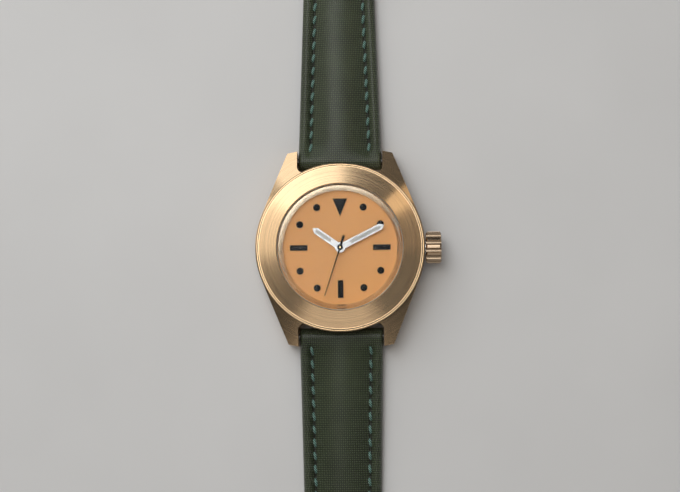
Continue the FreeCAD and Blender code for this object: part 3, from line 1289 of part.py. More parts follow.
# Checks, then one file for each piece.
doc.recompute()
for thing in doc.Objects:
    if "Invalid" in thing.State or "Error" in thing.State:
        raise RuntimeError("%s did not build" % thing.Label)
for node in nodes:
    if node.Shape.isNull() or not node.Shape.isValid():
        raise RuntimeError("%s has no valid shape" % node.Label)
os.makedirs("parts", exist_ok=True)
for node in nodes:
    node.Shape.exportStep("parts/%s.step" % node.Label)
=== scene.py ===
"""A dive watch with a bronze case, an apricot dial and a padded canvas strap, lying open on a pale floor.

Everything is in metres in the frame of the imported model: the case back rests on z = 0, +Y points to twelve
o'clock and +X to three o'clock and the crown.
"""

import json
import math

import bmesh
import bpy
from mathutils import Matrix, Vector


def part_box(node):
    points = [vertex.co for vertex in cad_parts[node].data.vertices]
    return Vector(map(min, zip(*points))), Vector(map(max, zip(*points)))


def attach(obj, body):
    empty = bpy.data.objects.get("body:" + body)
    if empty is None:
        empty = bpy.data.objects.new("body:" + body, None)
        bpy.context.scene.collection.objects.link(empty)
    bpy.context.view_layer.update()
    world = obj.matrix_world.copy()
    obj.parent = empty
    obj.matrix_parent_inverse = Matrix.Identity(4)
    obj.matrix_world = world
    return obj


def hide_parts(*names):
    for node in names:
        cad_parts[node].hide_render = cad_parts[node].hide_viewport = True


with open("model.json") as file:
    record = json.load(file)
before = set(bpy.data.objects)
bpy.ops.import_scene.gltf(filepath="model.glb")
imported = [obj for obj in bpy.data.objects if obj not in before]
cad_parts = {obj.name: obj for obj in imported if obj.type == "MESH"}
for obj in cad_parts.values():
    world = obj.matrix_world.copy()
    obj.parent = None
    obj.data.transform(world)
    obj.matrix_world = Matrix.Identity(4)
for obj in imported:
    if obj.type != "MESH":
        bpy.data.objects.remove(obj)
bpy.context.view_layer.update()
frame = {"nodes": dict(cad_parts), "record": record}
MM = 0.001


# Materials ------------------------------------------------------------------------------------------------

class Nodes:
    """A short way to write a material's node tree."""

    def __init__(self, name):
        self.material = bpy.data.materials.new(name)
        self.material.use_nodes = True
        self.tree = self.material.node_tree
        self.shader = self.tree.nodes["Principled BSDF"]

    def add(self, kind, **values):
        node = self.tree.nodes.new("ShaderNode" + kind)
        for name, value in values.items():
            setattr(node, name, value)
        return node

    def link(self, source, target):
        self.tree.links.new(source, target)

    def set(self, **sockets):
        """Gives the shader's sockets plain values."""
        for name, value in sockets.items():
            self.shader.inputs[name.replace("_", " ")].default_value = value

    def place(self):
        """The piece's own coordinates, in metres."""
        return self.add("TexCoord").outputs["Object"]

    def math(self, operation, first, second=None):
        node = self.add("Math", operation=operation)
        for socket, value in zip(node.inputs, (first, second)):
            if isinstance(value, (int, float)):
                socket.default_value = value
            elif value is not None:
                self.link(value, socket)
        return node.outputs[0]

    def noise(self, vector, scale, detail, roughness=0.5):
        node = self.add("TexNoise")
        node.inputs["Scale"].default_value = scale
        node.inputs["Detail"].default_value = detail
        node.inputs["Roughness"].default_value = roughness
        self.link(vector, node.inputs["Vector"])
        return node.outputs["Fac"]

    def ramp(self, factor, stops):
        """A colour ramp of (position, grey or colour) stops."""
        node = self.add("ValToRGB")
        elements = node.color_ramp.elements
        while len(elements) < len(stops):
            elements.new(0.5)
        for element, (position, colour) in zip(elements, stops):
            element.position = position
            if isinstance(colour, (int, float)):
                colour = (colour, colour, colour)
            element.color = (*colour, 1)
        self.link(factor, node.inputs["Fac"])
        return node.outputs["Color"]

    def bump(self, height, distance, strength):
        node = self.add("Bump")
        node.inputs["Distance"].default_value = distance
        node.inputs["Strength"].default_value = strength
        self.link(height, node.inputs["Height"])
        return node.outputs["Normal"]

    def to(self, socket, output):
        """Leads an output into one of the shader's sockets."""
        self.link(output, self.shader.inputs[socket])


def from_middle(m):
    """The distance from the upright axis through the middle of the watch."""
    parts = m.add("SeparateXYZ")
    m.link(m.place(), parts.inputs[0])
    squares = [m.math("MULTIPLY", parts.outputs[axis], parts.outputs[axis]) for axis in "XY"]
    return m.math("SQRT", m.math("ADD", *squares))


def ring_noise(m, radius, scale, detail=2.0):
    """Noise that changes only with the distance from the middle."""
    node = m.add("TexNoise", noise_dimensions="1D")
    node.inputs["Scale"].default_value = scale
    node.inputs["Detail"].default_value = detail
    m.link(radius, node.inputs["W"])
    return node.outputs["Fac"]


def turned_metal(name, colour, rough=0.205):
    """Metal with fine brushing in rings round the middle of the watch."""
    groove = 0.08 * MM
    m = Nodes(name)
    # A quarter turn lays the long side of the highlight across the rings, as real brushing does.
    m.set(Base_Color=(*colour, 1), Metallic=1.0, Anisotropic=1.0, Anisotropic_Rotation=0.25)
    radius = from_middle(m)
    lines = ring_noise(m, radius, 1 / groove, detail=3)
    bands = ring_noise(m, radius, 0.25 / groove)
    patches = m.noise(m.place(), 300, 4)
    tone = m.math("ADD", m.math("MULTIPLY", lines, 0.6), m.math("MULTIPLY", bands, 0.4))
    m.to("Base Color", m.ramp(tone, [(0.35, [c * 0.78 for c in colour]), (0.65, colour)]))
    uneven = m.math("ADD", m.math("MULTIPLY", tone, 0.95), m.math("MULTIPLY", patches, 0.05))
    spread = m.add("MapRange")
    spread.inputs["From Min"].default_value = 0.3
    spread.inputs["From Max"].default_value = 0.7
    spread.inputs["To Min"].default_value = rough * 0.85
    spread.inputs["To Max"].default_value = rough * 1.2
    m.link(uneven, spread.inputs["Value"])
    m.to("Roughness", spread.outputs["Result"])
    m.to("Normal", m.bump(lines, 0.003 * MM, 0.4))
    tangent = m.add("Tangent", direction_type="RADIAL", axis="Z")
    m.to("Tangent", tangent.outputs["Tangent"])
    return m.material


def satin_metal(name, colour, rough, scratch=400):
    """Plain machined metal with faint wear."""
    m = Nodes(name)
    m.set(Metallic=1.0)
    haze = m.noise(m.place(), scratch, 6, 0.65)
    m.to("Base Color", m.ramp(haze, [(0.35, [c * 0.86 for c in colour]), (0.65, colour)]))
    m.to("Roughness", m.ramp(haze, [(0.3, rough * 0.8), (0.7, rough * 1.3)]))
    m.to("Normal", m.bump(haze, 0.004 * MM, 0.4))
    return m.material


def painted(name, colour, rough, grain=3000, depth=0.003, specular=0.5, coat=0.0):
    """Paint, rubber, plastic or stone: an even colour with a fine grain of a depth in millimetres."""
    m = Nodes(name)
    m.set(Specular_IOR_Level=specular, Coat_Weight=coat, Coat_Roughness=0.05)
    fine = m.noise(m.place(), grain, 3)
    broad = m.noise(m.place(), 120, 3)
    m.to("Base Color", m.ramp(broad, [(0.3, [c * 0.94 for c in colour]), (0.7, colour)]))
    m.to("Roughness", m.ramp(fine, [(0.3, rough * 0.85), (0.7, min(1, rough * 1.15))]))
    m.to("Normal", m.bump(fine, depth * MM, 0.5))
    return m.material


def crystal_glass():
    """Clear glass that shows the dial nearly unshifted."""
    m = Nodes("crystal_glass")
    m.set(Base_Color=(1, 1, 1, 1), Roughness=0.0, IOR=1.1, Transmission_Weight=1.0)
    return m.material


def canvas(name, colour):
    """Woven canvas: warp and weft threads over and under each other, in the layout's millimetres."""
    warp_pitch, weft_pitch = 0.45, 0.52
    m = Nodes(name)
    m.set(Specular_IOR_Level=0.55, Coat_Weight=0.38, Coat_Roughness=0.3)
    place = m.place()
    parts = m.add("SeparateXYZ")
    m.link(m.add("UVMap", uv_map="cloth").outputs["UV"], parts.inputs[0])
    wander = m.math("MULTIPLY", m.math("SUBTRACT", m.noise(place, 900, 2), 0.5), 0.14)
    across = m.math("ADD", parts.outputs["X"], wander)
    along = m.math("ADD", parts.outputs["Y"], wander)
    warp = m.math("SINE", m.math("MULTIPLY", across, math.pi / warp_pitch))
    weft = m.math("SINE", m.math("MULTIPLY", along, math.pi / weft_pitch))
    over = m.math("MULTIPLY", warp, weft)
    warp_round = m.math("ABSOLUTE", warp)
    weft_round = m.math("ABSOLUTE", weft)
    knots = m.math("MULTIPLY", warp_round, weft_round)
    crossing = m.math("MULTIPLY", over, 0.35)
    raised = m.math("MULTIPLY", m.math("ADD", crossing, 0.35), 0.5)
    top = m.math("ADD", m.math("MULTIPLY", knots, 0.9), raised)
    fibre = m.noise(place, 9000, 2)
    height = m.math("ADD", top, m.math("MULTIPLY", fibre, 0.2))
    worn = m.noise(place, 110, 4, 0.6)
    # Thread tops are painted lighter and the gaps between threads darker: painted highlight and painted
    # shade; the noise worn adds wear at random.
    tone = m.math("ADD", m.math("MULTIPLY", top, 0.75), m.math("MULTIPLY", worn, 0.35))
    dark = [c * 0.12 for c in colour]
    painted_top_highlight = [min(1, c * 2.5) for c in colour]
    m.to("Base Color", m.ramp(tone, [(0.3, dark), (0.58, colour), (0.85, painted_top_highlight)]))
    m.to("Roughness", m.ramp(fibre, [(0.3, 0.32), (0.7, 0.48)]))
    m.to("Normal", m.bump(height, 0.22 * MM, 1.0))
    return m.material


def lining_cloth():
    """The smooth coated cloth on the underside of the strap."""
    colour = (0.045, 0.030, 0.018)
    m = Nodes("lining")
    m.set(Specular_IOR_Level=0.5)
    place = m.place()
    grain = m.noise(place, 2500, 4)
    broad = m.noise(place, 150, 3)
    m.to("Base Color", m.ramp(broad, [(0.3, [c * 0.7 for c in colour]), (0.7, colour)]))
    m.to("Roughness", m.ramp(grain, [(0.3, 0.38), (0.7, 0.55)]))
    m.to("Normal", m.bump(grain, 0.03 * MM, 0.6))
    return m.material


def thread_material():
    """Sewing thread with slanting plies."""
    m = Nodes("stitch_thread")
    m.set(Specular_IOR_Level=0.5, Sheen_Weight=0.3)
    place = m.place()
    parts = m.add("SeparateXYZ")
    m.link(place, parts.inputs[0])
    slant = m.math("ADD", parts.outputs["Y"], m.math("MULTIPLY", parts.outputs["X"], 1.2))
    twist = m.math("SINE", m.math("MULTIPLY", slant, 2 * math.pi / (0.55 * MM)))
    lift = m.math("ADD", m.math("MULTIPLY", twist, 0.5), 0.5)
    # The tops of the plies are painted lighter and the grooves between them nearly black: painted highlight
    # and painted shade.
    m.to("Base Color", m.ramp(lift, [(0.2, (0.004, 0.014, 0.012)), (0.9, (0.22, 0.44, 0.37))]))
    m.to("Roughness", m.ramp(lift, [(0.0, 0.6), (1.0, 0.4)]))
    m.to("Normal", m.bump(lift, 0.05 * MM, 0.8))
    return m.material


BRONZE = (0.80, 0.56, 0.33)
OLIVE = (0.042, 0.057, 0.027)

MATERIALS = {
    "bronze_brushed": turned_metal("bronze_brushed", BRONZE),
    "rehaut_polish": satin_metal("rehaut_polish", (0.92, 0.84, 0.72), rough=0.14),
    # A darker, duller copy of the case's bronze: painted shade standing in for the crown's shadowed flutes.
    "bronze_crown_shaded": satin_metal("bronze_crown_shaded", (0.42, 0.31, 0.21), rough=0.2),
    "bronze_satin": satin_metal("bronze_satin", BRONZE, rough=0.24),
    "steel_back": turned_metal("steel_back", (0.62, 0.60, 0.57), rough=0.28),
    "steel": satin_metal("steel", (0.60, 0.60, 0.60), rough=0.2),
    "dark_steel": satin_metal("dark_steel", (0.12, 0.12, 0.12), rough=0.4),
    "plated": satin_metal("plated", (0.66, 0.63, 0.58), rough=0.3),
    "brass": satin_metal("brass", (0.78, 0.60, 0.30), rough=0.22),
    "blued_steel": satin_metal("blued_steel", (0.14, 0.18, 0.35), rough=0.18),
    "ruby": painted("ruby", (0.45, 0.02, 0.08), rough=0.1, coat=1.0),
    "nylon": painted("nylon", (0.72, 0.66, 0.55), rough=0.45, depth=0.005),
    "rubber": painted("rubber", (0.012, 0.012, 0.012), rough=0.6, depth=0.01),
    "dial_paint": painted("dial_paint", (0.97, 0.465, 0.155), rough=0.62, depth=0.002),
    "marker_black": painted(
        "marker_black", (0.004, 0.005, 0.006), rough=0.5, specular=0.12, grain=8000, depth=0.001
    ),
    "marker_grey": painted("marker_grey", (0.010, 0.011, 0.013), rough=0.6, specular=0.15, grain=9000),
    "hand_silver": satin_metal("hand_silver", (0.54, 0.55, 0.56), rough=0.38, scratch=600),
    "lume": painted("lume", (0.62, 0.63, 0.61), rough=0.7, grain=9000),
    "crystal": crystal_glass(),
    "canvas": canvas("canvas", OLIVE),
    # A darker copy of the canvas: painted shade for the valleys beside the stitches.
    "canvas_seam_shade": canvas("canvas_seam_shade", [tone * 0.35 for tone in OLIVE]),
    "thread": thread_material(),
    "lining": lining_cloth(),
}

NODE_FINISH = {
    "case_middle": "bronze_brushed", "bezel": "bronze_brushed", "crown": "bronze_crown_shaded",
    "buckle_frame": "bronze_satin", "buckle_tongue": "bronze_satin", "case_back": "steel_back",
    "crystal": "crystal", "dial": "dial_paint",
    "hour_markers": "marker_black", "seconds_hand": "marker_black",
    "marker_inlays": "marker_grey", "hour_hand": "hand_silver", "minute_hand": "hand_silver",
    "hour_hand_lume": "lume", "minute_hand_lume": "lume", "rehaut": "rehaut_polish",
    "crystal_gasket": "nylon", "case_back_gasket": "rubber", "crown_gasket": "rubber",
    "jewels": "ruby", "pallet_stones": "ruby", "hairspring": "blued_steel", "mainspring": "steel",
    "rotor": "brass", "cannon_pinion": "steel", "lug_spring_bars": "dark_steel",
}
SLOT_FINISH = {"plate": "plated", "brass": "brass", "steel": "steel"}


def finish_nodes():
    """Gives every shown node its own finish, or else the one of its material slot."""
    slots = {part["node"]: part["material_slot"] for part in frame["record"]["subparts"]}
    for name, node in frame["nodes"].items():
        finish = NODE_FINISH.get(name) or SLOT_FINISH.get(slots[name], "steel")
        node.data.materials.clear()
        node.data.materials.append(MATERIALS[finish])


finish_nodes()


# Strap ----------------------------------------------------------------------------------------------------
# Sizes here are in millimetres. A half's y runs from its spring bar to its far end.

# The seam: its distance from the edge, but at most a share of the half width, and the valley it pulls.
SEAM_PLACE, SEAM_SHARE = 2.85, 0.42
SEAM_DEPTH, SEAM_DEPTH_SHARE = 1.15, 0.3
# The valley and the full rounding begin a little past the spring bar.
CALM_START, CALM_REACH = 0.5, 4
# The height of the rolled edge, as a share of the padding, and the radius of its rounding.
EDGE_SHARE, EDGE_ROUND = 0.8, 1.25
BAR_EDGE_SHARE, BAR_EDGE_ROUND = 0.97, 0.5
UNDER_ROUND = 0.7
# From this share of its width on, the rolled edge falls to the seam; the padding rises behind it.
FALL_START, FALL_POWER, RISE_POWER = 0.45, 1.5, 2.1
# Where top and underside meet, as a share of the thickness.
MEETING_SHARE = 0.42
# The small waves that the stitches draw into the cloth: their height and how far they reach.
PUCKER, PUCKER_REACH = 0.16, 0.7
SEAM_START = 3.4
STITCH_PITCH, STITCH_LENGTH, STITCH_RADIUS = 3.08, 2.3, 0.37
END_HALF_WIDTH, END_THICKNESS = 8.0, 2.6
# Rows of points: the step between them, and round the spring bar and near the far end their angles.
ROW_STEP, END_STRETCH = 0.5, 4
BAR_TURNS = range(0, 90, 10)
END_TURNS = range(0, 96, 6)
# The first and the last row lie just inside the ends, so that their points stay apart.
BAR_INSIDE, END_INSIDE = 0.999, 0.9999
# Columns of points round the edge, as angles, and up to the seam and past it, as shares.
EDGE_TURNS = range(0, 90, 15)
TO_SEAM = (0.55, 0.68, 0.78, 0.86, 0.93, 1.0)
PAST_SEAM = (0.02, 0.05, 0.1, 0.17, 0.26, 0.37, 0.5, 0.65, 0.82, 1)
# The columns of faces beside the seam, which get the darker canvas: painted shade in the valley the stitches
# pull.
SHADED_SEAM_COLUMNS = range(9, 13)
# The order of the materials on a half.
CANVAS, LINING, CANVAS_SEAM_SHADE = range(3)
BAR_LOW, BAR_HIGH = (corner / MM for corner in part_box("lug_spring_bars"))
BAR_PLACE = BAR_HIGH.y - (BAR_HIGH.z - BAR_LOW.z) / 2
BAR_HEIGHT = (BAR_HIGH.z + BAR_LOW.z) / 2


def smooth(share):
    """Goes from 0 to 1 without a kink at either end."""
    share = min(1.0, max(0.0, share))
    return share * share * (3 - 2 * share)


def mixed(first, second, share):
    return first + (second - first) * share


def round_half(distance, radius):
    """Half the height of a circle at a distance from its centre."""
    return math.sqrt(max(0.0, radius * radius - distance * distance))


class StrapShape:
    """The padded form of one strap half."""

    def __init__(self, node, sign, narrow_at, rise, thinning, end_round, pointed):
        low, high = (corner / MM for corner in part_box(node))
        self.sign, self.narrow_at, self.rise, self.thinning = sign, narrow_at, rise, thinning
        self.wide = high.x
        self.loop = high.z - BAR_HEIGHT
        self.far = (high.y if sign > 0 else -low.y) - BAR_PLACE
        self.bottom = low.z
        self.end_round, self.pointed = end_round, pointed

    def half_width(self, y):
        width = mixed(self.wide, END_HALF_WIDTH, min(1, max(0, y / self.narrow_at)))
        if self.pointed and y > self.far - self.pointed:
            share = (y - self.far + self.pointed) / self.pointed
            width *= math.sqrt(max(0.0, 1 - share ** 2.3))
        return width

    def limits(self, y):
        """The underside's height and that of the padded middle."""
        if y < 0:
            half = round_half(y, self.loop)
            return BAR_HEIGHT - half, BAR_HEIGHT + half
        low = mixed(BAR_HEIGHT - self.loop, self.bottom, smooth(y / self.rise))
        high = mixed(BAR_HEIGHT + self.loop, self.bottom + END_THICKNESS, min(1, y / self.thinning))
        if self.end_round and y > self.far - 2 * self.end_round:
            centre = self.bottom + self.end_round
            past = y - self.far + self.end_round
            swell = smooth((past + self.end_round) / self.end_round)
            high = mixed(high, centre + round_half(max(0, past), self.end_round), swell)
            if past > 0:
                low = centre - round_half(past, self.end_round)
        return low, high

    def seam(self, y):
        """The distance of the stitches from the edge."""
        return min(SEAM_PLACE, self.half_width(y) * SEAM_SHARE)

    def height(self, x, y, under=False):
        """The surface's height on top, or on the underside, at a place across and along."""
        low, high = self.limits(y)
        half = max(0.01, self.half_width(y))
        edge = max(0.0, half - abs(x))
        seam = self.seam(y)
        puff = high - low
        middle = low + puff * MEETING_SHARE
        if under:
            turn = min(1, edge / UNDER_ROUND)
            return mixed(middle, low, math.sqrt(1 - (1 - turn) ** 2))
        calm = smooth((y - CALM_START) / CALM_REACH)
        crest = low + puff * mixed(BAR_EDGE_SHARE, EDGE_SHARE, calm)
        round_in = mixed(BAR_EDGE_ROUND, EDGE_ROUND, calm)
        valley = crest - min(SEAM_DEPTH, puff * SEAM_DEPTH_SHARE) * calm
        wave = math.cos(2 * math.pi * (y - SEAM_START) / STITCH_PITCH) * calm
        near = math.exp(-(((edge - seam) / PUCKER_REACH) ** 2))
        pucker = PUCKER * wave * near
        if edge < seam:
            share = edge / seam
            turn = min(1, edge / min(round_in, seam * 0.5))
            rolled = mixed(middle, crest, math.sqrt(1 - (1 - turn) ** 2))
            fall = smooth((share - FALL_START) / (1 - FALL_START)) ** FALL_POWER
            return mixed(rolled, valley, fall) + pucker
        share = (edge - seam) / max(0.01, half - seam)
        return mixed(valley, high, 1 - (1 - share) ** RISE_POWER) + pucker

    def place(self, x, y, z):
        """A point of the half, in metres in the frame of the watch."""
        return Vector((x, self.sign * (BAR_PLACE + y), z)) * MM

    def columns(self, y):
        """Distances from the strap's edge, close together at the rolled edge and the seam."""
        seam, half = self.seam(y), self.half_width(y)
        rolled = [EDGE_ROUND * (1 - math.cos(math.radians(turn))) for turn in EDGE_TURNS]
        scale = seam / SEAM_PLACE
        room = half - seam
        places = [r * scale for r in rolled]
        places += [seam * share for share in TO_SEAM]
        places += [seam + room * share for share in PAST_SEAM]
        return places

    def rows(self):
        """Places along the half, close together round the spring bar and at the far end."""
        rows = [-self.loop * math.cos(math.radians(turn)) * BAR_INSIDE for turn in BAR_TURNS]
        steps = int((self.far - END_STRETCH) / ROW_STEP)
        rows += [ROW_STEP * k for k in range(steps)]
        start, end = rows[-1] + ROW_STEP, self.far * END_INSIDE
        rows += [mixed(start, end, math.sin(math.radians(turn))) for turn in END_TURNS]
        return rows


def tube_faces(rings, count):
    """The faces between rings of the same count of points."""
    faces = []
    for k in range(len(rings) - 1):
        for j in range(count):
            nearby = (j + 1) % count
            faces.append((rings[k][j], rings[k][nearby], rings[k + 1][nearby], rings[k + 1][j]))
    return faces


def lay_out(piece, rings, points):
    """Gives a swept piece a flat layout in millimetres, so that the weave follows the cloth."""
    run, place = {}, 0.0
    for k, ring in enumerate(rings):
        if k:
            middle = len(ring) // 4
            place += (points[ring[middle]] - points[rings[k - 1][middle]]).length / MM
        lengths = [(points[b] - points[a]).length / MM for a, b in zip(ring, ring[1:])]
        start = -sum(lengths) / 2
        run[ring[0]] = (start, place)
        for spot, length in zip(ring[1:], lengths):
            start += length
            run[spot] = (start, place)
    # A face wider than this closes a ring: it goes on past the last point, not back to the first.
    widest_face = 5
    layout = piece.data.uv_layers.new(name="cloth")
    for polygon in piece.data.polygons:
        corners = [run[piece.data.loops[k].vertex_index] for k in polygon.loop_indices]
        spread = max(u for u, v in corners) - min(u for u, v in corners)
        for k, (u, v) in zip(polygon.loop_indices, corners):
            if len(corners) == 4 and spread > widest_face and u < 0:
                u += spread
            layout.data[k].uv = (u, v)


def new_object(name, points, faces, *materials):
    """A smooth mesh with all its faces turned outwards."""
    mesh = bpy.data.meshes.new(name)
    mesh.from_pydata(points, [], faces)
    shape = bmesh.new()
    shape.from_mesh(mesh)
    bmesh.ops.recalc_face_normals(shape, faces=shape.faces)
    shape.to_mesh(mesh)
    shape.free()
    piece = bpy.data.objects.new(name, mesh)
    bpy.context.scene.collection.objects.link(piece)
    for material in materials:
        mesh.materials.append(MATERIALS[material])
    for polygon in mesh.polygons:
        polygon.use_smooth = True
    return piece


def strap_body(name, shape):
    """The padded half itself, as rings of points across it, row by row."""
    points, rings, rows = [], [], shape.rows()
    for y in rows:
        half = shape.half_width(y)
        right = [half - edge for edge in shape.columns(y)]
        across = [-x for x in right] + right[-2::-1]
        top = [(x, shape.height(x, y)) for x in across]
        under = [(x, shape.height(x, y, under=True)) for x in across[-2:0:-1]]
        ring = []
        for x, z in top + under:
            ring.append(len(points))
            points.append(shape.place(x, y, z))
        rings.append(ring)
    kinds = [CANVAS] * (len(right) - 1)
    # The faces beside the seam take the canvas with painted shade.
    for column in SHADED_SEAM_COLUMNS:
        kinds[column] = CANVAS_SEAM_SHADE
    kinds = kinds + kinds[::-1] + [LINING] * (len(under) + 1)
    count = len(rings[0])
    sides = tube_faces(rings, count)
    piece = new_object(name, points, sides + [rings[0], rings[-1]], "canvas", "lining", "canvas_seam_shade")
    for polygon in piece.data.polygons[:len(sides)]:
        row, column = divmod(polygon.index, count)
        sewn = rows[row] > SEAM_START - STITCH_LENGTH / 2
        if sewn or kinds[column] != CANVAS_SEAM_SHADE:
            polygon.material_index = kinds[column]
    lay_out(piece, rings, points)
    return piece


def cut_away(piece, outlines):
    """Cuts upright prisms through a piece, each an outline of (x, y) points in metres."""
    below, above = -0.01, 0.02
    points, faces = [], []
    for outline in outlines:
        first, count = len(points), len(outline)
        for z in (below, above):
            points += [(x, y, z) for x, y in outline]
        faces.append(list(range(first, first + count)))
        faces.append(list(range(first + count, first + 2 * count)))
        for k in range(count):
            nearby = (k + 1) % count
            faces.append((first + k, first + nearby, first + count + nearby, first + count + k))
    cutter = new_object("cutter", points, faces)
    cut = piece.modifiers.new("cut", "BOOLEAN")
    cut.operation, cut.object, cut.solver = "DIFFERENCE", cutter, "EXACT"
    finished = piece.evaluated_get(bpy.context.evaluated_depsgraph_get())
    result = bpy.data.meshes.new_from_object(finished)
    piece.modifiers.clear()
    piece.data = result
    bpy.data.objects.remove(cutter)


def seam_path(shape, side, start, end):
    """The line of the stitches, as (x, y) points close together."""
    step = 0.25
    count = int((end - start) / step)
    ys = [mixed(start, end, k / count) for k in range(count + 1)]
    return [(side * (shape.half_width(y) - shape.seam(y)), y) for y in ys]


def stitches(name, shape, start, end):
    """Both rows of stitches, each stitch a short thread that dips into the canvas at its ends."""
    sides, along = 8, 7
    # A stitch leans sideways, thins towards its ends, which lie sunk, and is a little flat.
    slant, thin_end, flattened = 0.42, 0.55, 0.8
    sunk, arch_height = 0.22, 0.5
    points, faces = [], []
    for side in (-1, 1):
        path = seam_path(shape, side, start, end)
        walked, next_stitch, run = 0.0, 0.0, []
        for first, second in zip(path, path[1:]):
            step = math.dist(first, second)
            while walked + step >= next_stitch:
                share = (next_stitch - walked) / step
                run.append(mixed(first[1], second[1], share))
                next_stitch += STITCH_PITCH
            walked += step
        for middle in run:
            rings = []
            for k in range(along):
                share = k / (along - 1)
                arch = math.sin(math.pi * share) ** 0.5
                y = middle + STITCH_LENGTH * (share - 0.5)
                on_seam = side * (shape.half_width(y) - shape.seam(y))
                x = on_seam + slant * (share - 0.5)
                radius = STITCH_RADIUS * mixed(thin_end, 1, arch)
                level = shape.height(on_seam, y) - sunk + arch_height * arch
                ring = []
                for j in range(sides):
                    angle = 2 * math.pi * j / sides
                    rise = radius * flattened * math.sin(angle)
                    ring.append(len(points))
                    points.append(shape.place(x + radius * math.cos(angle), y, level + rise))
                rings.append(ring)
            faces += tube_faces(rings, sides) + [rings[0], rings[-1]]
    return new_object(name, points, faces, "thread")


def disc(y, radius):
    """The outline of a round hole in the middle of the strap."""
    count = 28
    angles = [2 * math.pi * k / count for k in range(count)]
    return [(radius * math.cos(angle), y + radius * math.sin(angle)) for angle in angles]


def buckle_half():
    """The short half, with an open slot for the buckle's tongue at its far end."""
    shape = StrapShape(
        "strap_buckle_side", 1, narrow_at=52, rise=8, thinning=36, end_round=1.7, pointed=0
    )
    body = strap_body("strap_short_padded", shape)
    slot_half, slot_start, slot_end = 1.6, shape.far - 6, shape.far + 2
    slot_hub = slot_start + slot_half
    slot = [(-slot_half, slot_end), (-slot_half, slot_hub)]
    for k in range(1, 8):
        angle = math.radians(180 + 22.5 * k)
        slot.append((slot_half * math.cos(angle), slot_hub + slot_half * math.sin(angle)))
    slot += [(slot_half, slot_hub), (slot_half, slot_end)]
    cut_away(body, [[(x * MM, (BAR_PLACE + y) * MM) for x, y in slot]])
    seam_end = shape.far - 7.5
    thread = stitches("strap_short_stitches", shape, start=SEAM_START, end=seam_end)
    for piece in (body, thread):
        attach(piece, "strap_short")
    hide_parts("strap_buckle_side")


def tail_half():
    """The long half, with its row of holes and pointed end."""
    shape = StrapShape(
        "strap_tail_side", -1, narrow_at=95, rise=14, thinning=60, end_round=0, pointed=13
    )
    body = strap_body("strap_long_padded", shape)
    hole_count, hole_start, hole_pitch, hole_radius = 7, 58, 6.5, 1.0
    places = [BAR_PLACE + hole_start + hole_pitch * k for k in range(hole_count)]
    cut_away(body, [disc(-place * MM, hole_radius * MM) for place in places])
    seam_end = shape.far - 1.6
    thread = stitches("strap_long_stitches", shape, start=SEAM_START, end=seam_end)
    for piece in (body, thread):
        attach(piece, "strap_long")
    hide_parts("strap_tail_side")


def keeper(node, body):
    """A folded canvas band: a rounded box all round, swept with a flat section with soft edges."""
    low, high = (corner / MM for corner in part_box(node))
    band, corner, corner_steps = 0.8, 1.0, 6
    # Between the corners there is a section at every spacing; the top bows up a little.
    spacing, bow = 1.2, 0.12
    # The section's sides, and how square it is along the strap and through the cloth.
    sides, squareness, softness = 24, 0.35, 0.6
    # The grooves near both edges, as a share of the half length, with their width.
    groove_depth, groove_place, groove_width = 0.13, 0.72, 0.28
    centre = (low + high) / 2
    half_x, half_z = (high.x - low.x - band) / 2, (high.z - low.z - band) / 2
    half_y = (high.y - low.y) / 2
    path = []
    for turn, (side_x, side_z) in enumerate(((1, 1), (-1, 1), (-1, -1), (1, -1))):
        for k in range(corner_steps + 1):
            angle = math.radians(90 * turn + 90 * k / corner_steps)
            out = Vector((math.cos(angle), 0, math.sin(angle)))
            hub = Vector((side_x * (half_x - corner), 0, side_z * (half_z - corner)))
            path.append((hub + out * corner, out))
    full, rings, points = [], [], []
    for k, (spot, out) in enumerate(path):
        after = path[(k + 1) % len(path)]
        full.append((spot, out))
        gap = (after[0] - spot).length
        extra = int(gap / spacing)
        on_top = out.z > 0.5
        for j in range(1, extra):
            share = j / extra
            lift = math.sin(math.pi * share) * bow if on_top else 0
            full.append((spot.lerp(after[0], share) + out * lift, out))
    for spot, out in full:
        ring = []
        for j in range(sides):
            angle = 2 * math.pi * j / sides
            cos, sin = math.cos(angle), math.sin(angle)
            along = half_y * math.copysign(abs(cos) ** squareness, cos)
            thick = band / 2 * math.copysign(abs(sin) ** softness, sin)
            past_groove = (abs(along) - half_y * groove_place) / groove_width
            groove = groove_depth * math.exp(-(past_groove ** 2)) if sin > 0 else 0
            ring.append(len(points))
            points.append((centre + spot + out * (thick - groove) + Vector((0, along, 0))) * MM)
        rings.append(ring)
    faces = tube_faces(rings + [rings[0]], sides)
    piece = new_object(node + "_band", points, faces, "canvas")
    lay_out(piece, rings, points)
    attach(piece, body)
    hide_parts(node)


buckle_half()
tail_half()
keeper("fixed_keeper", "strap_short")
keeper("sliding_keeper", "keeper")


# Stage ----------------------------------------------------------------------------------------------------

def floor():
    """A wide sheet of pale paper."""
    m = Nodes("floor_paper")
    m.set(Specular_IOR_Level=0.3, Roughness=0.8)
    m.to("Base Color", m.ramp(m.noise(m.place(), 20, 3), [(0.3, 0.76), (0.7, 0.80)]))
    bpy.ops.mesh.primitive_plane_add(size=4, location=(0, 0, 0))
    plane = bpy.context.object
    plane.name = "floor"
    plane.data.materials.append(m.material)


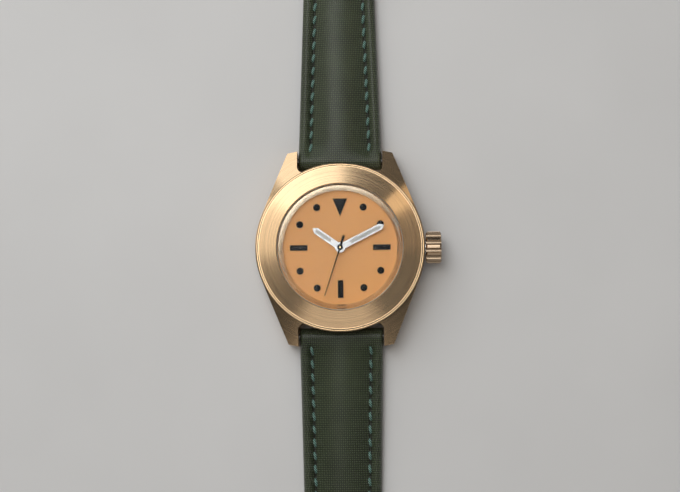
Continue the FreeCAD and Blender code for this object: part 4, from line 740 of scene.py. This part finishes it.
# Each light: name, bearing from +X and elevation in degrees, size in metres, radiance, colour.
LIGHTS = (
    ("key_top", 113, 52, (0.38, 0.85), 1.65, (0.96, 0.98, 1.0)),
    ("key_left", 158, 52, (0.34, 0.85), 0.95, (1.0, 0.95, 0.88)),
    ("accent", 43, 50, (0.10, 0.5), 1.0, (1.0, 0.82, 0.6)),
    ("accent_soft", 20, 50, (0.24, 0.5), 0.16, (1.0, 0.82, 0.62)),
    ("fill_south", 266, 50, (0.42, 0.5), 0.6, (1.0, 0.95, 0.9)),
    ("overhead", 125, 77, (0.18, 0.42), 2.0, (1.0, 1.0, 0.98)),
)
LIGHT_DISTANCE = 0.6


def panel(name, bearing, elevation, size, radiance, colour):
    """A soft light facing the watch."""
    light = bpy.data.lights.new(name, "AREA")
    light.shape = "RECTANGLE"
    light.size, light.size_y = size
    light.energy = radiance * math.pi * size[0] * size[1]
    light.color = colour
    lamp = bpy.data.objects.new(name, light)
    turn, lift = math.radians(bearing), math.radians(elevation)
    away = Vector((math.cos(lift) * math.cos(turn), math.cos(lift) * math.sin(turn), math.sin(lift)))
    lamp.location = away * LIGHT_DISTANCE
    lamp.rotation_euler = (-away).to_track_quat("-Z", "Y").to_euler()
    bpy.context.scene.collection.objects.link(lamp)


def studio():
    """The lights over a nearly dark surrounding."""
    world = bpy.data.worlds.new("studio")
    bpy.context.scene.world = world
    world.use_nodes = True
    background = world.node_tree.nodes["Background"]
    background.inputs["Color"].default_value = (0.85, 0.9, 1.0, 1)
    background.inputs["Strength"].default_value = 0.03
    for light in LIGHTS:
        panel(*light)
    bpy.context.scene.view_settings.view_transform = "Standard"


def camera():
    """Nearly straight above, a little towards six o'clock and the crown."""
    lens = bpy.data.cameras.new("camera")
    eye = bpy.data.objects.new("camera", lens)
    bpy.context.scene.collection.objects.link(eye)
    lens.sensor_width = 36
    distance, across = 0.5, 0.1585
    lens.lens = lens.sensor_width * distance / across
    lens.clip_start = 0.01
    target = Vector((0, 0.22 * MM, 10.5 * MM))
    south, east, roll = math.radians(4.0), math.radians(1.5), math.radians(0.6)
    towards = Vector((math.tan(east), -math.tan(south), 1)).normalized()
    right = Vector((math.cos(roll), -math.sin(roll), 0)).cross(towards).cross(towards) * -1
    right.normalize()
    up = towards.cross(right)
    eye.matrix_world = Matrix((right, up, towards)).transposed().to_4x4()
    eye.location = target + distance * towards
    bpy.context.scene.camera = eye


floor()
studio()
camera()
